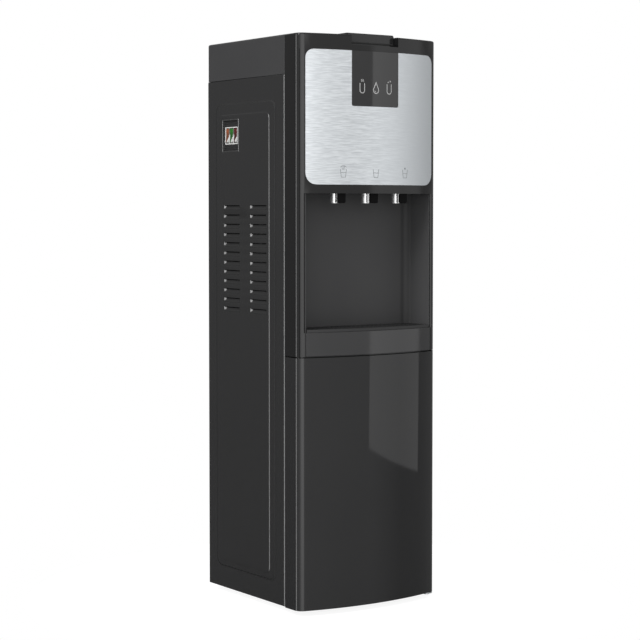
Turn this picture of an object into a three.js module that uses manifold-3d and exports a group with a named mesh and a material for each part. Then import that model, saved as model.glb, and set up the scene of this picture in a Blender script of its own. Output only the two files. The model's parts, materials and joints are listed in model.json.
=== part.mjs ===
// Floor-standing water dispenser: the bottle stands in the base cabinet, and a pump lifts its water
// to a cold tank, a hot tank and three push taps over a cup niche. Millimetres, +Z up, front towards
// -Y, origin on the floor under the middle of the body. Depths ("setbacks") are counted back from the
// foremost line of the bowed front.
import * as THREE from 'three';
import { mergeVertices } from 'three/addons/utils/BufferGeometryUtils.js';
import Module from 'manifold-3d';

const wasm = await Module();
wasm.setup();

// ---------------------------------------------------------------- overall sizes
const WIDTH = 310;
const DEPTH = 330;
const BODY_HEIGHT = 1030;
const FOOT_HEIGHT = 12;
const FRONT_BOW = 22.5;
const FRONT_CORNER_R = 16;
const REAR_CORNER_R = 5;
const TOP_EDGE_R = 3.5;

// ---------------------------------------------------------------- walls and clearances
const MOULDING_WALL = 2.8;
const SHEET = 1.2;
const FIT = 0.3;
const SEAM = 0.6;
const DOOR_GAP = 2.4;
const SLIDE_CLEARANCE = 0.8;
const PIN_CLEARANCE = 0.06;

// ---------------------------------------------------------------- heights of the front, from the top
const TOP_BAND_HEIGHT = 28;
const FASCIA_HEIGHT = 240.2;
const LIP_HEIGHT = 15.3;
const NICHE_HEIGHT = 248.5;
const TRAY_FRONT_HEIGHT = 42.6;
const TOP_COVER_SKIRT = 70.6;
const DOOR_SKIRT_DROP = 1.3;

// ---------------------------------------------------------------- depths
const SIDE_SEAM_SETBACK = 65;
const FRAME_INSET = 0.4;
const NICHE_SETBACK = 84;
const NOZZLE_SETBACK = 32.5;

// ---------------------------------------------------------------- facets on round shapes
const BOW_STEPS = 18;
const CORNER_STEPS = 5;
const ROUND_STEPS = 16;

// ---------------------------------------------------------------- levels worked out from them
const FRONT_Y = -DEPTH / 2;
const BACK_Y = DEPTH / 2;
const HALF_WIDTH = WIDTH / 2;
const BODY_Z0 = FOOT_HEIGHT;
const TOP_Z = BODY_Z0 + BODY_HEIGHT;
const FASCIA_Z1 = TOP_Z - TOP_BAND_HEIGHT;
const FASCIA_Z0 = FASCIA_Z1 - FASCIA_HEIGHT;
const NICHE_Z1 = FASCIA_Z0 - LIP_HEIGHT;
const TRAY_FRONT_Z1 = NICHE_Z1 - NICHE_HEIGHT;
const FRAME_Z0 = TRAY_FRONT_Z1 - TRAY_FRONT_HEIGHT;
const DOOR_Z1 = FRAME_Z0 - DOOR_GAP;
const DOOR_Z0 = BODY_Z0 - DOOR_SKIRT_DROP;
const COVER_Z0 = TOP_Z - TOP_COVER_SKIRT;
const PANEL_Z1 = COVER_Z0 - SEAM;
const BOW_RADIUS = (HALF_WIDTH ** 2 + FRONT_BOW ** 2) / (2 * FRONT_BOW);
const BOW_CENTRE_Y = FRONT_Y + BOW_RADIUS;
const PANEL_Y0 = FRONT_Y + SIDE_SEAM_SETBACK + SEAM;

// ================================================================ solids
// Corners go to the nearest step of a fine grid, so faces meant to lie in one plane do.
const GRID = 8192;
const onGrid = (value) => Math.round(value * GRID) / GRID;

// A closed geometry becomes a solid; one that came out inside out is turned round first.
function solid(geometry) {
  const bare = geometry.clone();
  for (const name of Object.keys(bare.attributes)) {
    if (name !== 'position') bare.deleteAttribute(name);
  }
  const merged = mergeVertices(bare, 1e-4);
  const points = Float32Array.from(merged.attributes.position.array, onGrid);
  const corners = Uint32Array.from(merged.index.array);
  if (signedVolume(points, corners) < 0) flip(corners);
  return solidOf(points, corners);
}

function solidOf(vertProperties, triVerts) {
  return new wasm.Manifold(new wasm.Mesh({ numProp: 3, vertProperties, triVerts }));
}

function flip(corners) {
  for (let i = 0; i < corners.length; i += 3) {
    const kept = corners[i + 1];
    corners[i + 1] = corners[i + 2];
    corners[i + 2] = kept;
  }
}

function signedVolume(points, corners) {
  let total = 0;
  for (let i = 0; i < corners.length; i += 3) {
    const [a, b, c] = [0, 1, 2].map((k) => new THREE.Vector3().fromArray(points, 3 * corners[i + k]));
    total += a.dot(b.cross(c));
  }
  return total / 6;
}

const join = (first, ...others) => others.reduce((sum, next) => sum.add(next), first);
const cut = (first, ...others) => others.reduce((rest, next) => rest.subtract(next), first);

function mirrorX(body) {
  const mesh = body.getMesh();
  const points = Float32Array.from(mesh.vertProperties);
  const corners = Uint32Array.from(mesh.triVerts);
  for (let i = 0; i < points.length; i += 3) points[i] = -points[i];
  flip(corners);
  return solidOf(points, corners);
}

function box(x0, x1, y0, y1, z0, z1) {
  const shape = new THREE.BoxGeometry(x1 - x0, y1 - y0, z1 - z0);
  return solid(shape.translate((x0 + x1) / 2, (y0 + y1) / 2, (z0 + z1) / 2));
}

const FAR = 2000;
const aheadOf = (y) => box(-FAR, FAR, -FAR, y, -FAR, FAR);
const behind = (y) => box(-FAR, FAR, y, FAR, -FAR, FAR);
const slab = (z0, z1) => box(-FAR, FAR, -FAR, FAR, z0, z1);
const strip = (x0, x1, z0, z1) => box(x0, x1, -FAR, FAR, z0, z1);

// Extrusions of a flat outline: along Z from (x, y), along X from (y, z), along Y from (x, z).
function extruded(outline, length, holes = []) {
  const shape = new THREE.Shape(outline);
  shape.holes = holes.map((hole) => new THREE.Path(hole));
  return new THREE.ExtrudeGeometry(shape, { depth: length, bevelEnabled: false, curveSegments: 1 });
}

function prism(outline, z0, z1, holes) {
  return solid(extruded(outline, z1 - z0, holes).translate(0, 0, z0));
}

function prismX(outline, x0, x1, holes) {
  const axes = new THREE.Matrix4().set(0, 0, 1, x0, 1, 0, 0, 0, 0, 1, 0, 0, 0, 0, 0, 1);
  return solid(extruded(outline, x1 - x0, holes).applyMatrix4(axes));
}

function prismY(outline, y0, y1, holes) {
  return solid(extruded(outline, y1 - y0, holes).rotateX(Math.PI / 2).translate(0, y1, 0));
}

// A pressed pad with sloping edges, standing out by its height from the sheet whose face is at x.
function pressedPad(outline, x, height, slope) {
  const shape = new THREE.Shape(outline);
  const options = {
    depth: PAD_ROOT, bevelEnabled: true, bevelThickness: height, bevelSize: slope, bevelOffset: -slope,
    bevelSegments: 1, curveSegments: 1,
  };
  const pad = new THREE.ExtrudeGeometry(shape, options);
  const axes = new THREE.Matrix4().set(0, 0, -1, x + PAD_ROOT, -1, 0, 0, 0, 0, 1, 0, 0, 0, 0, 0, 1);
  return solid(pad.applyMatrix4(axes)).intersect(box(x - height - 1, x + PAD_ROOT, -FAR, FAR, -FAR, FAR));
}

// A turned piece: the profile is (radius, height) and starts and ends on the axis or closes itself.
function turned(profile, steps = ROUND_STEPS) {
  const points = profile.map(([r, h]) => new THREE.Vector2(r, h));
  return new THREE.LatheGeometry(points, steps).rotateX(Math.PI / 2);
}

function rod(radius, length, steps = ROUND_STEPS) {
  return new THREE.CylinderGeometry(radius, radius, length, steps).rotateX(Math.PI / 2);
}

const rodZ = (r, x, y, z0, z1, steps) => solid(rod(r, z1 - z0, steps).translate(x, y, (z0 + z1) / 2));
const rodX = (r, x0, x1, y, z, steps) =>
  solid(rod(r, x1 - x0, steps).rotateY(Math.PI / 2).translate((x0 + x1) / 2, y, z));
const rodY = (r, x, y0, y1, z, steps) =>
  solid(rod(r, y1 - y0, steps).rotateX(Math.PI / 2).translate(x, (y0 + y1) / 2, z));

// A hose through points, each [x, y, z].
function hose(route, radius, steps, sides = 8) {
  const curve = new THREE.CatmullRomCurve3(route.map((p) => new THREE.Vector3(...p)), false, 'centripetal');
  const section = new THREE.Shape(circle(0, 0, radius, sides));
  return solid(new THREE.ExtrudeGeometry(section, { steps, extrudePath: curve, curveSegments: 1 }));
}

// ================================================================ outlines
function arc(cx, cy, radius, from, to, steps) {
  const points = [];
  for (let i = 0; i <= steps; i += 1) {
    const angle = from + ((to - from) * i) / steps;
    points.push(new THREE.Vector2(cx + radius * Math.cos(angle), cy + radius * Math.sin(angle)));
  }
  return points;
}

const circle = (cx, cy, radius, sides) => arc(cx, cy, radius, 0, 2 * Math.PI, sides).slice(0, sides);
const polygon = (...points) => points.map(([a, b]) => new THREE.Vector2(a, b));

// A rectangle whose corner radii are given as [low-low, high-low, high-high, low-high].
function rounded(a0, a1, b0, b1, radii, steps = CORNER_STEPS) {
  const r = Array.isArray(radii) ? radii : [radii, radii, radii, radii];
  const quarter = Math.PI / 2;
  return [
    ...arc(a0 + r[0], b0 + r[0], r[0], 2 * quarter, 3 * quarter, steps),
    ...arc(a1 - r[1], b0 + r[1], r[1], 3 * quarter, 4 * quarter, steps),
    ...arc(a1 - r[2], b1 - r[2], r[2], 0, quarter, steps),
    ...arc(a0 + r[3], b1 - r[3], r[3], quarter, 2 * quarter, steps),
  ];
}

// A slot with round ends, long along its first direction.
function slotOutline(a0, a1, b0, b1, steps = 3) {
  return rounded(a0, a1, b0, b1, (b1 - b0) / 2 - 0.01, steps);
}

// The bowed front with its two rounded corners, seen from above and moved inwards by an inset.
const CORNER_X = HALF_WIDTH - FRONT_CORNER_R;
const CORNER_Y = BOW_CENTRE_Y - Math.sqrt((BOW_RADIUS - FRONT_CORNER_R) ** 2 - CORNER_X ** 2);
const BOW_END_ANGLE = Math.atan2(CORNER_Y - BOW_CENTRE_Y, CORNER_X);

function frontPath(inset) {
  const corner = Math.max(FRONT_CORNER_R - inset, 0.5);
  const left = -Math.PI - BOW_END_ANGLE;
  return [
    ...arc(-CORNER_X, CORNER_Y, corner, -Math.PI, left, CORNER_STEPS).slice(0, -1),
    ...arc(0, BOW_CENTRE_Y, BOW_RADIUS - inset, left, BOW_END_ANGLE, BOW_STEPS),
    ...arc(CORNER_X, CORNER_Y, corner, BOW_END_ANGLE, 0, CORNER_STEPS).slice(1),
  ];
}

function bodyOutline(inset) {
  const rear = Math.max(REAR_CORNER_R - inset, 0.3);
  const x = HALF_WIDTH - inset - rear;
  const y = BACK_Y - inset - rear;
  return [
    ...frontPath(inset),
    ...arc(x, y, rear, 0, Math.PI / 2, CORNER_STEPS - 2),
    ...arc(-x, y, rear, Math.PI / 2, Math.PI, CORNER_STEPS - 2),
  ];
}

const bodyPrism = (inset, z0, z1) => prism(bodyOutline(inset), z0, z1);

// The same form with its top edge rounded.
function bodyBlock(inset, z0, z1, edge) {
  const shape = new THREE.Shape(bodyOutline(inset));
  const options = {
    depth: z1 - z0 - edge, bevelEnabled: true, bevelThickness: edge, bevelSize: edge, bevelOffset: -edge,
    bevelSegments: 3, curveSegments: 1,
  };
  return solid(new THREE.ExtrudeGeometry(shape, options).translate(0, 0, z0)).intersect(slab(z0, z1));
}

// How far back the bowed front lies at x, as a Y.
const frontY = (x, inset = 0) => BOW_CENTRE_Y - Math.sqrt((BOW_RADIUS - inset) ** 2 - x ** 2);
const setback = (distance) => FRONT_Y + distance;

// ================================================================ scene
const dispenser = new THREE.Group();
dispenser.name = 'water_dispenser';

const finish = (color, roughness, metalness = 0) => ({ color, roughness, metalness });
const FINISHES = {
  glossBlack: finish(0x161617, 0.16),
  satinSteel: finish(0x2b2b2d, 0.42, 0.2),
  galvanised: finish(0x9a9ea2, 0.4, 0.9),
  brushedSteel: finish(0xcfd2d4, 0.3, 1),
  stainless: finish(0xb9bcbf, 0.25, 1),
  chrome: finish(0xe6e6e8, 0.08, 1),
  smoked: finish(0x2c2d30, 0.1),
  mattBlack: finish(0x1c1c1d, 0.6),
  rubber: finish(0x121212, 0.85),
  whitePlastic: finish(0xf1f1ee, 0.35),
  greyPlastic: finish(0x8f9498, 0.5),
  red: finish(0xc0281c, 0.3),
  darkRed: finish(0x7c1414, 0.3),
  green: finish(0x1f8a2c, 0.3),
  foam: finish(0xe9e7e0, 0.9),
  aluminium: finish(0xb4b7ba, 0.4, 1),
  board: finish(0x1d5a3a, 0.5),
  silicone: finish(0xdadfe0, 0.45),
  blueSilicone: finish(0x9fc3d8, 0.45),
};

function add(name, body, look) {
  const mesh = body.getMesh();
  const geometry = new THREE.BufferGeometry();
  geometry.setAttribute('position', new THREE.Float32BufferAttribute(mesh.vertProperties, 3));
  geometry.setIndex(Array.from(mesh.triVerts));
  geometry.computeVertexNormals();
  const node = new THREE.Mesh(geometry, new THREE.MeshStandardMaterial(FINISHES[look]));
  node.name = name;
  dispenser.add(node);
}

// ================================================================ base, feet and bottle tray
const BASE_FLANGE_HEIGHT = 16;
const BASE_CLEARANCE = FIT + SHEET;
const BASE_X = HALF_WIDTH - BASE_CLEARANCE;
const BASE_Y0 = PANEL_Y0 + BASE_CLEARANCE;
const BACK_PANEL_Y0 = BACK_Y - SHEET;
const BASE_Y1 = BACK_PANEL_Y0 - FIT;
const FOOT_R = 16;
const FOOT_INSET_X = 46;
const FOOT_FRONT_SETBACK = 86;
const FOOT_REAR_SETBACK = 46;
const FOOT_STEM_R = 4;
const FOOT_STEM_HOLE_R = 4.5;
const footPlaces = [
  ['foot_front_left', -HALF_WIDTH + FOOT_INSET_X + FOOT_R, setback(FOOT_FRONT_SETBACK)],
  ['foot_front_right', HALF_WIDTH - FOOT_INSET_X - FOOT_R, setback(FOOT_FRONT_SETBACK)],
  ['foot_rear_left', -HALF_WIDTH + FOOT_INSET_X + FOOT_R, BACK_Y - FOOT_REAR_SETBACK - FOOT_R],
  ['foot_rear_right', HALF_WIDTH - FOOT_INSET_X - FOOT_R, BACK_Y - FOOT_REAR_SETBACK - FOOT_R],
];

const HINGE_X = HALF_WIDTH - 12;
const HINGE_Y = setback(32);
const HINGE_PIN_R = 3.5;
const BRACKET_WIDTH = 20;
const BRACKET_SHEET = 2.4;
const BRACKET_TAIL = 46;

function basePlate() {
  const outer = box(-BASE_X, BASE_X, BASE_Y0, BASE_Y1, BODY_Z0, BODY_Z0 + BASE_FLANGE_HEIGHT);
  const inner = box(
    -BASE_X + SHEET, BASE_X - SHEET, BASE_Y0 + SHEET, BASE_Y1 - SHEET, BODY_Z0 + SHEET, FAR,
  );
  const stems = footPlaces.map(([, x, y]) => rodZ(FOOT_STEM_HOLE_R, x, y, 0, BODY_Z0 + 2 * SHEET));
  return cut(outer, inner, ...stems);
}

// A moulded foot: a tapered pad with a hollow sole and a stem with a snap head.
function foot(x, y) {
  const top = BODY_Z0 - FIT;
  const head = BODY_Z0 + SHEET + FIT;
  const profile = [
    [0, 2.5], [9, 2.5], [9, 0], [FOOT_R - 1, 0], [FOOT_R, 1.2], [FOOT_R - 2.5, top],
    [FOOT_STEM_R, top], [FOOT_STEM_R, head], [FOOT_STEM_R + 1.6, head + 0.4], [2.2, head + 4.5],
    [0, head + 4.5],
  ];
  return solid(turned(profile, 14).translate(x, y, 0));
}

// A strip bent twice: its tail lies under the base plate and its nose carries the door from below.
function lowerBracket() {
  const tailTop = BODY_Z0 - FIT;
  const noseTop = DOOR_Z0 - FIT - 0.5;
  const joggle = BASE_Y0 + 6;
  const side = polygon(
    [HINGE_Y - BRACKET_WIDTH / 2, noseTop - BRACKET_SHEET], [joggle + 3, noseTop - BRACKET_SHEET],
    [joggle + 6, tailTop - BRACKET_SHEET], [joggle + BRACKET_TAIL, tailTop - BRACKET_SHEET],
    [joggle + BRACKET_TAIL, tailTop], [joggle + 3, tailTop], [joggle, noseTop],
    [HINGE_Y - BRACKET_WIDTH / 2, noseTop],
  );
  const x0 = HINGE_X - BRACKET_WIDTH / 2;
  const strap = prismX(side, x0, x0 + BRACKET_WIDTH);
  const nose = rounded(x0, x0 + BRACKET_WIDTH, HINGE_Y - BRACKET_WIDTH / 2, FAR, [9, 9, 0.1, 0.1], 4);
  const pinHole = rodZ(HINGE_PIN_R + FIT, HINGE_X, HINGE_Y, 0, BODY_Z0);
  return cut(strap.intersect(prism(nose, 0, BODY_Z0)), pinHole);
}

const PIN_HEAD_R = 6;
const PIN_REACH = 16;

function lowerPin() {
  const headTop = DOOR_Z0 - FIT - 0.5 - BRACKET_SHEET - FIT;
  const tip = DOOR_Z0 + PIN_REACH;
  const profile = [
    [0, headTop - 2], [PIN_HEAD_R - 1, headTop - 2], [PIN_HEAD_R, headTop], [HINGE_PIN_R, headTop],
    [HINGE_PIN_R, tip - 1], [HINGE_PIN_R - 1, tip], [0, tip],
  ];
  return solid(turned(profile).translate(HINGE_X, HINGE_Y, 0));
}

const BOTTLE_R = 135;
const BOTTLE_SETBACK = 186;
const BOTTLE_TRAY_HEIGHT = 16;
const BOTTLE_TRAY_WALL = 2.5;
const TRAY_UNDERSIDE = 7;

// A moulded tray with a round dish that centres the bottle.
function bottleTray() {
  const x = BASE_X - SHEET - FIT;
  const y0 = BASE_Y0 + SHEET + FIT;
  const y1 = BASE_Y1 - SHEET - FIT;
  const z0 = BODY_Z0 + SHEET + FIT;
  const outline = rounded(-x, x, y0, y1, 8, 3);
  const block = prism(outline, z0, z0 + BOTTLE_TRAY_HEIGHT);
  const bottleY = setback(BOTTLE_SETBACK);
  const floor = z0 + TRAY_UNDERSIDE + BOTTLE_TRAY_WALL;
  const dish = rodZ(BOTTLE_R - 14, 0, bottleY, floor, FAR, 36);
  const slope = turned([[0, 0], [BOTTLE_R - 14, 0], [BOTTLE_R - 8, 5], [0, 5]], 36);
  const step = solid(slope.translate(0, bottleY, z0 + BOTTLE_TRAY_HEIGHT - 4));
  const wall = BOTTLE_TRAY_WALL;
  const under = box(-x + wall, x - wall, y0 + wall, y1 - wall, z0 - 1, z0 + TRAY_UNDERSIDE);
  return cut(block, dish, step, under);
}

add('base_plate', basePlate(), 'galvanised');
for (const [name, x, y] of footPlaces) add(name, foot(x, y), 'rubber');
add('hinge_bracket_bottom', lowerBracket(), 'galvanised');
add('hinge_pin_bottom', lowerPin(), 'stainless');
add('bottle_tray', bottleTray(), 'mattBlack');

// ================================================================ side panels
const PANEL_FLANGE = 13;
const PAD_STEP = 0.8;
const PAD_SLOPE = 2.2;
const PAD_ROOT = 0.5;
const LOUVRE_ROOT = 0.4;
const LOUVRE_ROWS = 12;
const LOUVRE_PITCH = 17.29;
const LOUVRE_HEIGHT = 8.6;
const LOUVRE_LENGTH = 55;
const LOUVRE_DEPTH = 5;
const LOUVRE_TOP_DROP = 304.5;
const LOUVRE_SETBACKS = [122.5, 214];
const SWITCH_SETBACK0 = 217;
const SWITCH_SETBACK1 = 274.5;
const SWITCH_DROP = 144.4;
const SWITCH_HEIGHT = 60.6;
const OUTER_PAD = { near: 91, far: 300, top: 114, bottom: 40, radius: 16 };
const INNER_PAD = { near: 113, far: 287, top: 135, bottom: 52, radius: 12 };

function padOutline({ near, far, top, bottom, radius }) {
  return rounded(-setback(far), -setback(near), BODY_Z0 + bottom, TOP_Z - top, radius, 4);
}

// One louvre is pressed inwards: flush along its lower edge, open along its upper edge.
function louvreHole(y0, z1) {
  const x = -HALF_WIDTH;
  return box(x - 2 * PAD_STEP - 1, x + SHEET + 1, y0, y0 + LOUVRE_LENGTH, z1 - LOUVRE_HEIGHT, z1);
}

function louvreScoop(y0, z1) {
  const z0 = z1 - LOUVRE_HEIGHT;
  const face = -HALF_WIDTH - 2 * PAD_STEP;
  const inside = -HALF_WIDTH + LOUVRE_DEPTH;
  const root = face + LOUVRE_ROOT;
  const top = z1 - FIT;
  const outer = polygon([root, z0 - SHEET], [root + SHEET, z0 - SHEET], [inside + SHEET, top], [root, top]);
  const rise = LOUVRE_HEIGHT / (inside - face);
  const hollow = polygon([face - 1, z0 - rise], [inside + 1, z1 + rise], [face - 1, z1 + rise]);
  const cheek = SHEET + FIT;
  return cut(
    prismY(outer, y0 - SHEET, y0 + LOUVRE_LENGTH + SHEET),
    prismY(hollow, y0 - SHEET + cheek, y0 + LOUVRE_LENGTH + SHEET - cheek),
  );
}

function leftPanel(withSwitch) {
  const x = -HALF_WIDTH;
  const rear = BACK_Y - SHEET - FIT;
  const channel = prism(polygon(
    [x, PANEL_Y0], [x + PANEL_FLANGE, PANEL_Y0], [x + PANEL_FLANGE, PANEL_Y0 + SHEET],
    [x + SHEET, PANEL_Y0 + SHEET], [x + SHEET, rear - SHEET], [x + PANEL_FLANGE, rear - SHEET],
    [x + PANEL_FLANGE, rear], [x, rear],
  ), BODY_Z0, PANEL_Z1);
  const outerPad = pressedPad(padOutline(OUTER_PAD), x, PAD_STEP, PAD_SLOPE);
  const innerPad = pressedPad(padOutline(INNER_PAD), x - PAD_STEP, PAD_STEP, PAD_SLOPE);
  let panel = join(channel, outerPad, innerPad);
  if (withSwitch) {
    panel = panel.subtract(box(
      x - 5, x + 5, setback(SWITCH_SETBACK0) - FIT, setback(SWITCH_SETBACK1) + FIT,
      TOP_Z - SWITCH_DROP - SWITCH_HEIGHT - FIT, TOP_Z - SWITCH_DROP + FIT,
    ));
  }
  for (const start of LOUVRE_SETBACKS) {
    for (let row = 0; row < LOUVRE_ROWS; row += 1) {
      const top = TOP_Z - LOUVRE_TOP_DROP - row * LOUVRE_PITCH;
      panel = cut(panel, louvreHole(setback(start), top)).add(louvreScoop(setback(start), top));
    }
  }
  const slotX = x + SHEET + FIT / 2;
  const baseSlot = box(slotX, x + PANEL_FLANGE + 1, -FAR, FAR, 0, BODY_Z0 + BASE_FLANGE_HEIGHT + 2);
  return panel.subtract(baseSlot);
}

add('left_side_panel', leftPanel(true), 'satinSteel');
add('right_side_panel', mirrorX(leftPanel(false)), 'satinSteel');

// ================================================================ front frame
const OPENING_HALF = HALF_WIDTH - 15;
const PILLAR_RETURN = 10;
const PILLAR_ROUND = 4;
const PILLAR_GROOVE_X = HALF_WIDTH - 4.5;
const PILLAR_GROOVE = 0.8;
const FASCIA_HALF = OPENING_HALF + 1.2;
const FASCIA_SHEET = 1;
const FASCIA_RADII = [20, 20, 15, 15];
const WINDOW_HALF = 51.7;
const WINDOW_DROP = 99;
const WINDOW_Z0 = FASCIA_Z1 - WINDOW_DROP;
const NOTCH_HALF = 52;
const NOTCH_DEPTH = 18;
const NOTCH_Z = TOP_Z - NOTCH_DEPTH;
const RAIL_HEIGHT = 2.5;
const RAIL_INSET = 5;
const DRIP_RIB_INSET = 5.2;
const DRIP_RIB_THICK = 1.8;
const DRIP_RIB_DROP = 1.6;
const HINGE_PLATE = 2.4;
const LINER_Z0 = FRAME_Z0 + RAIL_HEIGHT + FIT + HINGE_PLATE + FIT;
const FRAME_BACK_Y = setback(SIDE_SEAM_SETBACK);
const FRAME_INNER = FRAME_INSET + MOULDING_WALL;
const REBATE_INSET = FASCIA_SHEET + FIT;

function fasciaOutline(by) {
  const radii = FASCIA_RADII.map((r) => r + by);
  return rounded(-FASCIA_HALF - by, FASCIA_HALF + by, FASCIA_Z0 + FIT - by, FASCIA_Z1 - FIT + by, radii);
}

function windowOutline(by) {
  const radii = [3 + by, 3 + by, 0.5, 0.5];
  return rounded(-WINDOW_HALF - by, WINDOW_HALF + by, WINDOW_Z0 - by, FASCIA_Z1 - FIT + by, radii, 3);
}

// What lies ahead of the bowed surface at an inset, within an outline seen from the front.
function aheadOfBow(outline, inset) {
  const all = prismY(outline, FRONT_Y - 5, FRAME_BACK_Y);
  return all.subtract(bodyPrism(inset, -10, TOP_Z + 10));
}

// The stock taken off a pillar's inner edge to leave it round.
function pillarRounding() {
  const x = OPENING_HALF + PILLAR_ROUND;
  const reach = BOW_RADIUS - FRAME_INSET - PILLAR_ROUND;
  const y = BOW_CENTRE_Y - Math.sqrt(reach ** 2 - x ** 2);
  const end = Math.atan2(y - BOW_CENTRE_Y, x);
  const edge = arc(x, y, PILLAR_ROUND, -Math.PI, end, CORNER_STEPS);
  const out = PILLAR_ROUND + 3;
  const outline = [
    new THREE.Vector2(OPENING_HALF - 1, y), ...edge,
    new THREE.Vector2(x + out * Math.cos(end), y + out * Math.sin(end)),
    new THREE.Vector2(OPENING_HALF - 1, y + out * Math.sin(end)),
  ];
  return prism(outline, TRAY_FRONT_Z1, NICHE_Z1);
}

function pillarGroove() {
  const radius = FRONT_CORNER_R - FRAME_INSET;
  const y = CORNER_Y - Math.sqrt(radius ** 2 - (PILLAR_GROOVE_X - CORNER_X) ** 2);
  const x0 = PILLAR_GROOVE_X - PILLAR_GROOVE / 2;
  return box(x0, x0 + PILLAR_GROOVE, y - 3, y + PILLAR_GROOVE, FRAME_Z0 - 1, FASCIA_Z1);
}

// A rib under the rail closes most of the gap over the door.
function dripRib() {
  const ring = bodyPrism(DRIP_RIB_INSET, FRAME_Z0 - DRIP_RIB_DROP, FRAME_Z0 + 1);
  const inner = bodyPrism(DRIP_RIB_INSET + DRIP_RIB_THICK, 0, FAR);
  return cut(ring, inner).intersect(aheadOf(FRAME_BACK_Y));
}

function frontFrame() {
  const skin = bodyBlock(FRAME_INSET, FRAME_Z0, TOP_Z, TOP_EDGE_R).intersect(aheadOf(FRAME_BACK_Y));
  const shell = skin.subtract(bodyPrism(FRAME_INNER, FRAME_Z0 - 1, TOP_Z - MOULDING_WALL));
  const returnZone = strip(OPENING_HALF, OPENING_HALF + MOULDING_WALL, LINER_Z0, NICHE_Z1 + MOULDING_WALL);
  const rightReturn = skin.intersect(returnZone).subtract(bodyPrism(FRAME_INSET + PILLAR_RETURN, 0, FAR));
  const trayPassage = strip(-OPENING_HALF, OPENING_HALF, -FAR, FAR).subtract(bodyPrism(RAIL_INSET, 0, FAR));
  const rail = cut(skin.intersect(slab(FRAME_Z0, FRAME_Z0 + RAIL_HEIGHT)), trayPassage);
  const notchWalls = skin.intersect(strip(
    -NOTCH_HALF - MOULDING_WALL, NOTCH_HALF + MOULDING_WALL, NOTCH_Z - MOULDING_WALL, TOP_Z,
  ));
  const opening = strip(-OPENING_HALF, OPENING_HALF, FRAME_Z0 + RAIL_HEIGHT, NICHE_Z1);
  const openFront = cut(join(shell, rightReturn, mirrorX(rightReturn)), opening, trayPassage.intersect(
    slab(FRAME_Z0 - 1, NICHE_Z1),
  ));
  const rounding = pillarRounding();
  const groove = pillarGroove();
  const displayHole = box(
    -WINDOW_HALF + 6, WINDOW_HALF - 6, FRONT_Y - 5, FRONT_Y + 15, WINDOW_Z0 + 6, FASCIA_Z1 - 8,
  );
  const notch = strip(-NOTCH_HALF, NOTCH_HALF, NOTCH_Z, FAR);
  const pinHole = rodZ(HINGE_PIN_R + FIT, HINGE_X, HINGE_Y, FRAME_Z0 - 1, FRAME_Z0 + RAIL_HEIGHT + 1);
  return cut(
    join(openFront, rail, dripRib(), notchWalls), rounding, mirrorX(rounding), groove, mirrorX(groove),
    aheadOfBow(fasciaOutline(FIT), REBATE_INSET), displayHole, notch, pinHole,
  );
}

function frontSkin(outline, inset0, inset1) {
  return aheadOfBow(outline, inset1).intersect(bodyPrism(inset0, 0, TOP_Z + 10));
}

function steelFascia() {
  return cut(frontSkin(fasciaOutline(0), 0, FASCIA_SHEET), prismY(windowOutline(FIT), FRONT_Y - 5, 0));
}

const BOARD_SETBACK = 14;
const BOARD_THICK = 1.6;
const INDICATOR_PITCH = 30;

// The circuit board behind the window, with one lamp in a light box for each symbol.
function displayBoard() {
  const x = WINDOW_HALF - 8;
  const y = setback(BOARD_SETBACK);
  const z0 = WINDOW_Z0 + 8;
  const board = box(-x, x, y, y + BOARD_THICK, z0, FASCIA_Z1 - 12);
  const lamps = [-1, 0, 1].map((i) => {
    const centre = i * INDICATOR_PITCH;
    const wall = rounded(centre - 10, centre + 10, z0 + 6, z0 + 36, 2, 2);
    const hollow = rounded(centre - 8.5, centre + 8.5, z0 + 7.5, z0 + 34.5, 1, 2);
    const tube = prismY(wall, y - 7, y + 0.2, [hollow]);
    return join(tube, rodY(2.5, centre, y - 4, y + 0.2, z0 + 21, 10));
  });
  return join(board, ...lamps);
}

add('front_frame', frontFrame(), 'glossBlack');
add('steel_fascia', steelFascia(), 'brushedSteel');
add('display_window', frontSkin(windowOutline(0), 0.1, FASCIA_SHEET), 'smoked');
add('display_board', displayBoard(), 'board');

// ================================================================ niche, drip tray and grille
const NICHE_BACK_HALF = OPENING_HALF - 4;
const NICHE_CORNER_R = 12;
const LINER_WALL = 2.2;
const NICHE_BACK_Y = setback(NICHE_SETBACK);

// The niche seen from above, moved outwards by a distance; it narrows towards its back.
function nicheOutline(by) {
  const x = NICHE_BACK_HALF - NICHE_CORNER_R;
  const y = NICHE_BACK_Y - NICHE_CORNER_R;
  const front = OPENING_HALF + by;
  return [
    new THREE.Vector2(-front, FRONT_Y - 10), new THREE.Vector2(front, FRONT_Y - 10),
    ...arc(x, y, NICHE_CORNER_R + by, 0, Math.PI / 2, 6),
    ...arc(-x, y, NICHE_CORNER_R + by, Math.PI / 2, Math.PI, 6),
  ];
}

const TAP_PITCH = 69;
const TAPS = [['hot', -TAP_PITCH], ['room', 0], ['cold', TAP_PITCH]];
const NOZZLE_Y = setback(NOZZLE_SETBACK);
const NOZZLE_R = 7.5;
const NOZZLE_BORE_R = 4.6;
const NOZZLE_DROP = 18;
const LEVER_WIDTH = 17;
const LEVER_THICK = 3.2;
const LEVER_DROP = 17.5;
const LEVER_LIP_GAP = 1.9;
const LEVER_SWING = THREE.MathUtils.degToRad(12);
const PIVOT_RISE = 38;
const PIVOT_Z = NICHE_Z1 + PIVOT_RISE;
const PIVOT_BOSS_R = 5;
const AXLE_R = 2;
const LEVER_SLOT_CLEARANCE = 1;
const leverY = (x) => frontY(x, FRAME_INNER) + LEVER_LIP_GAP;

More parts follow.
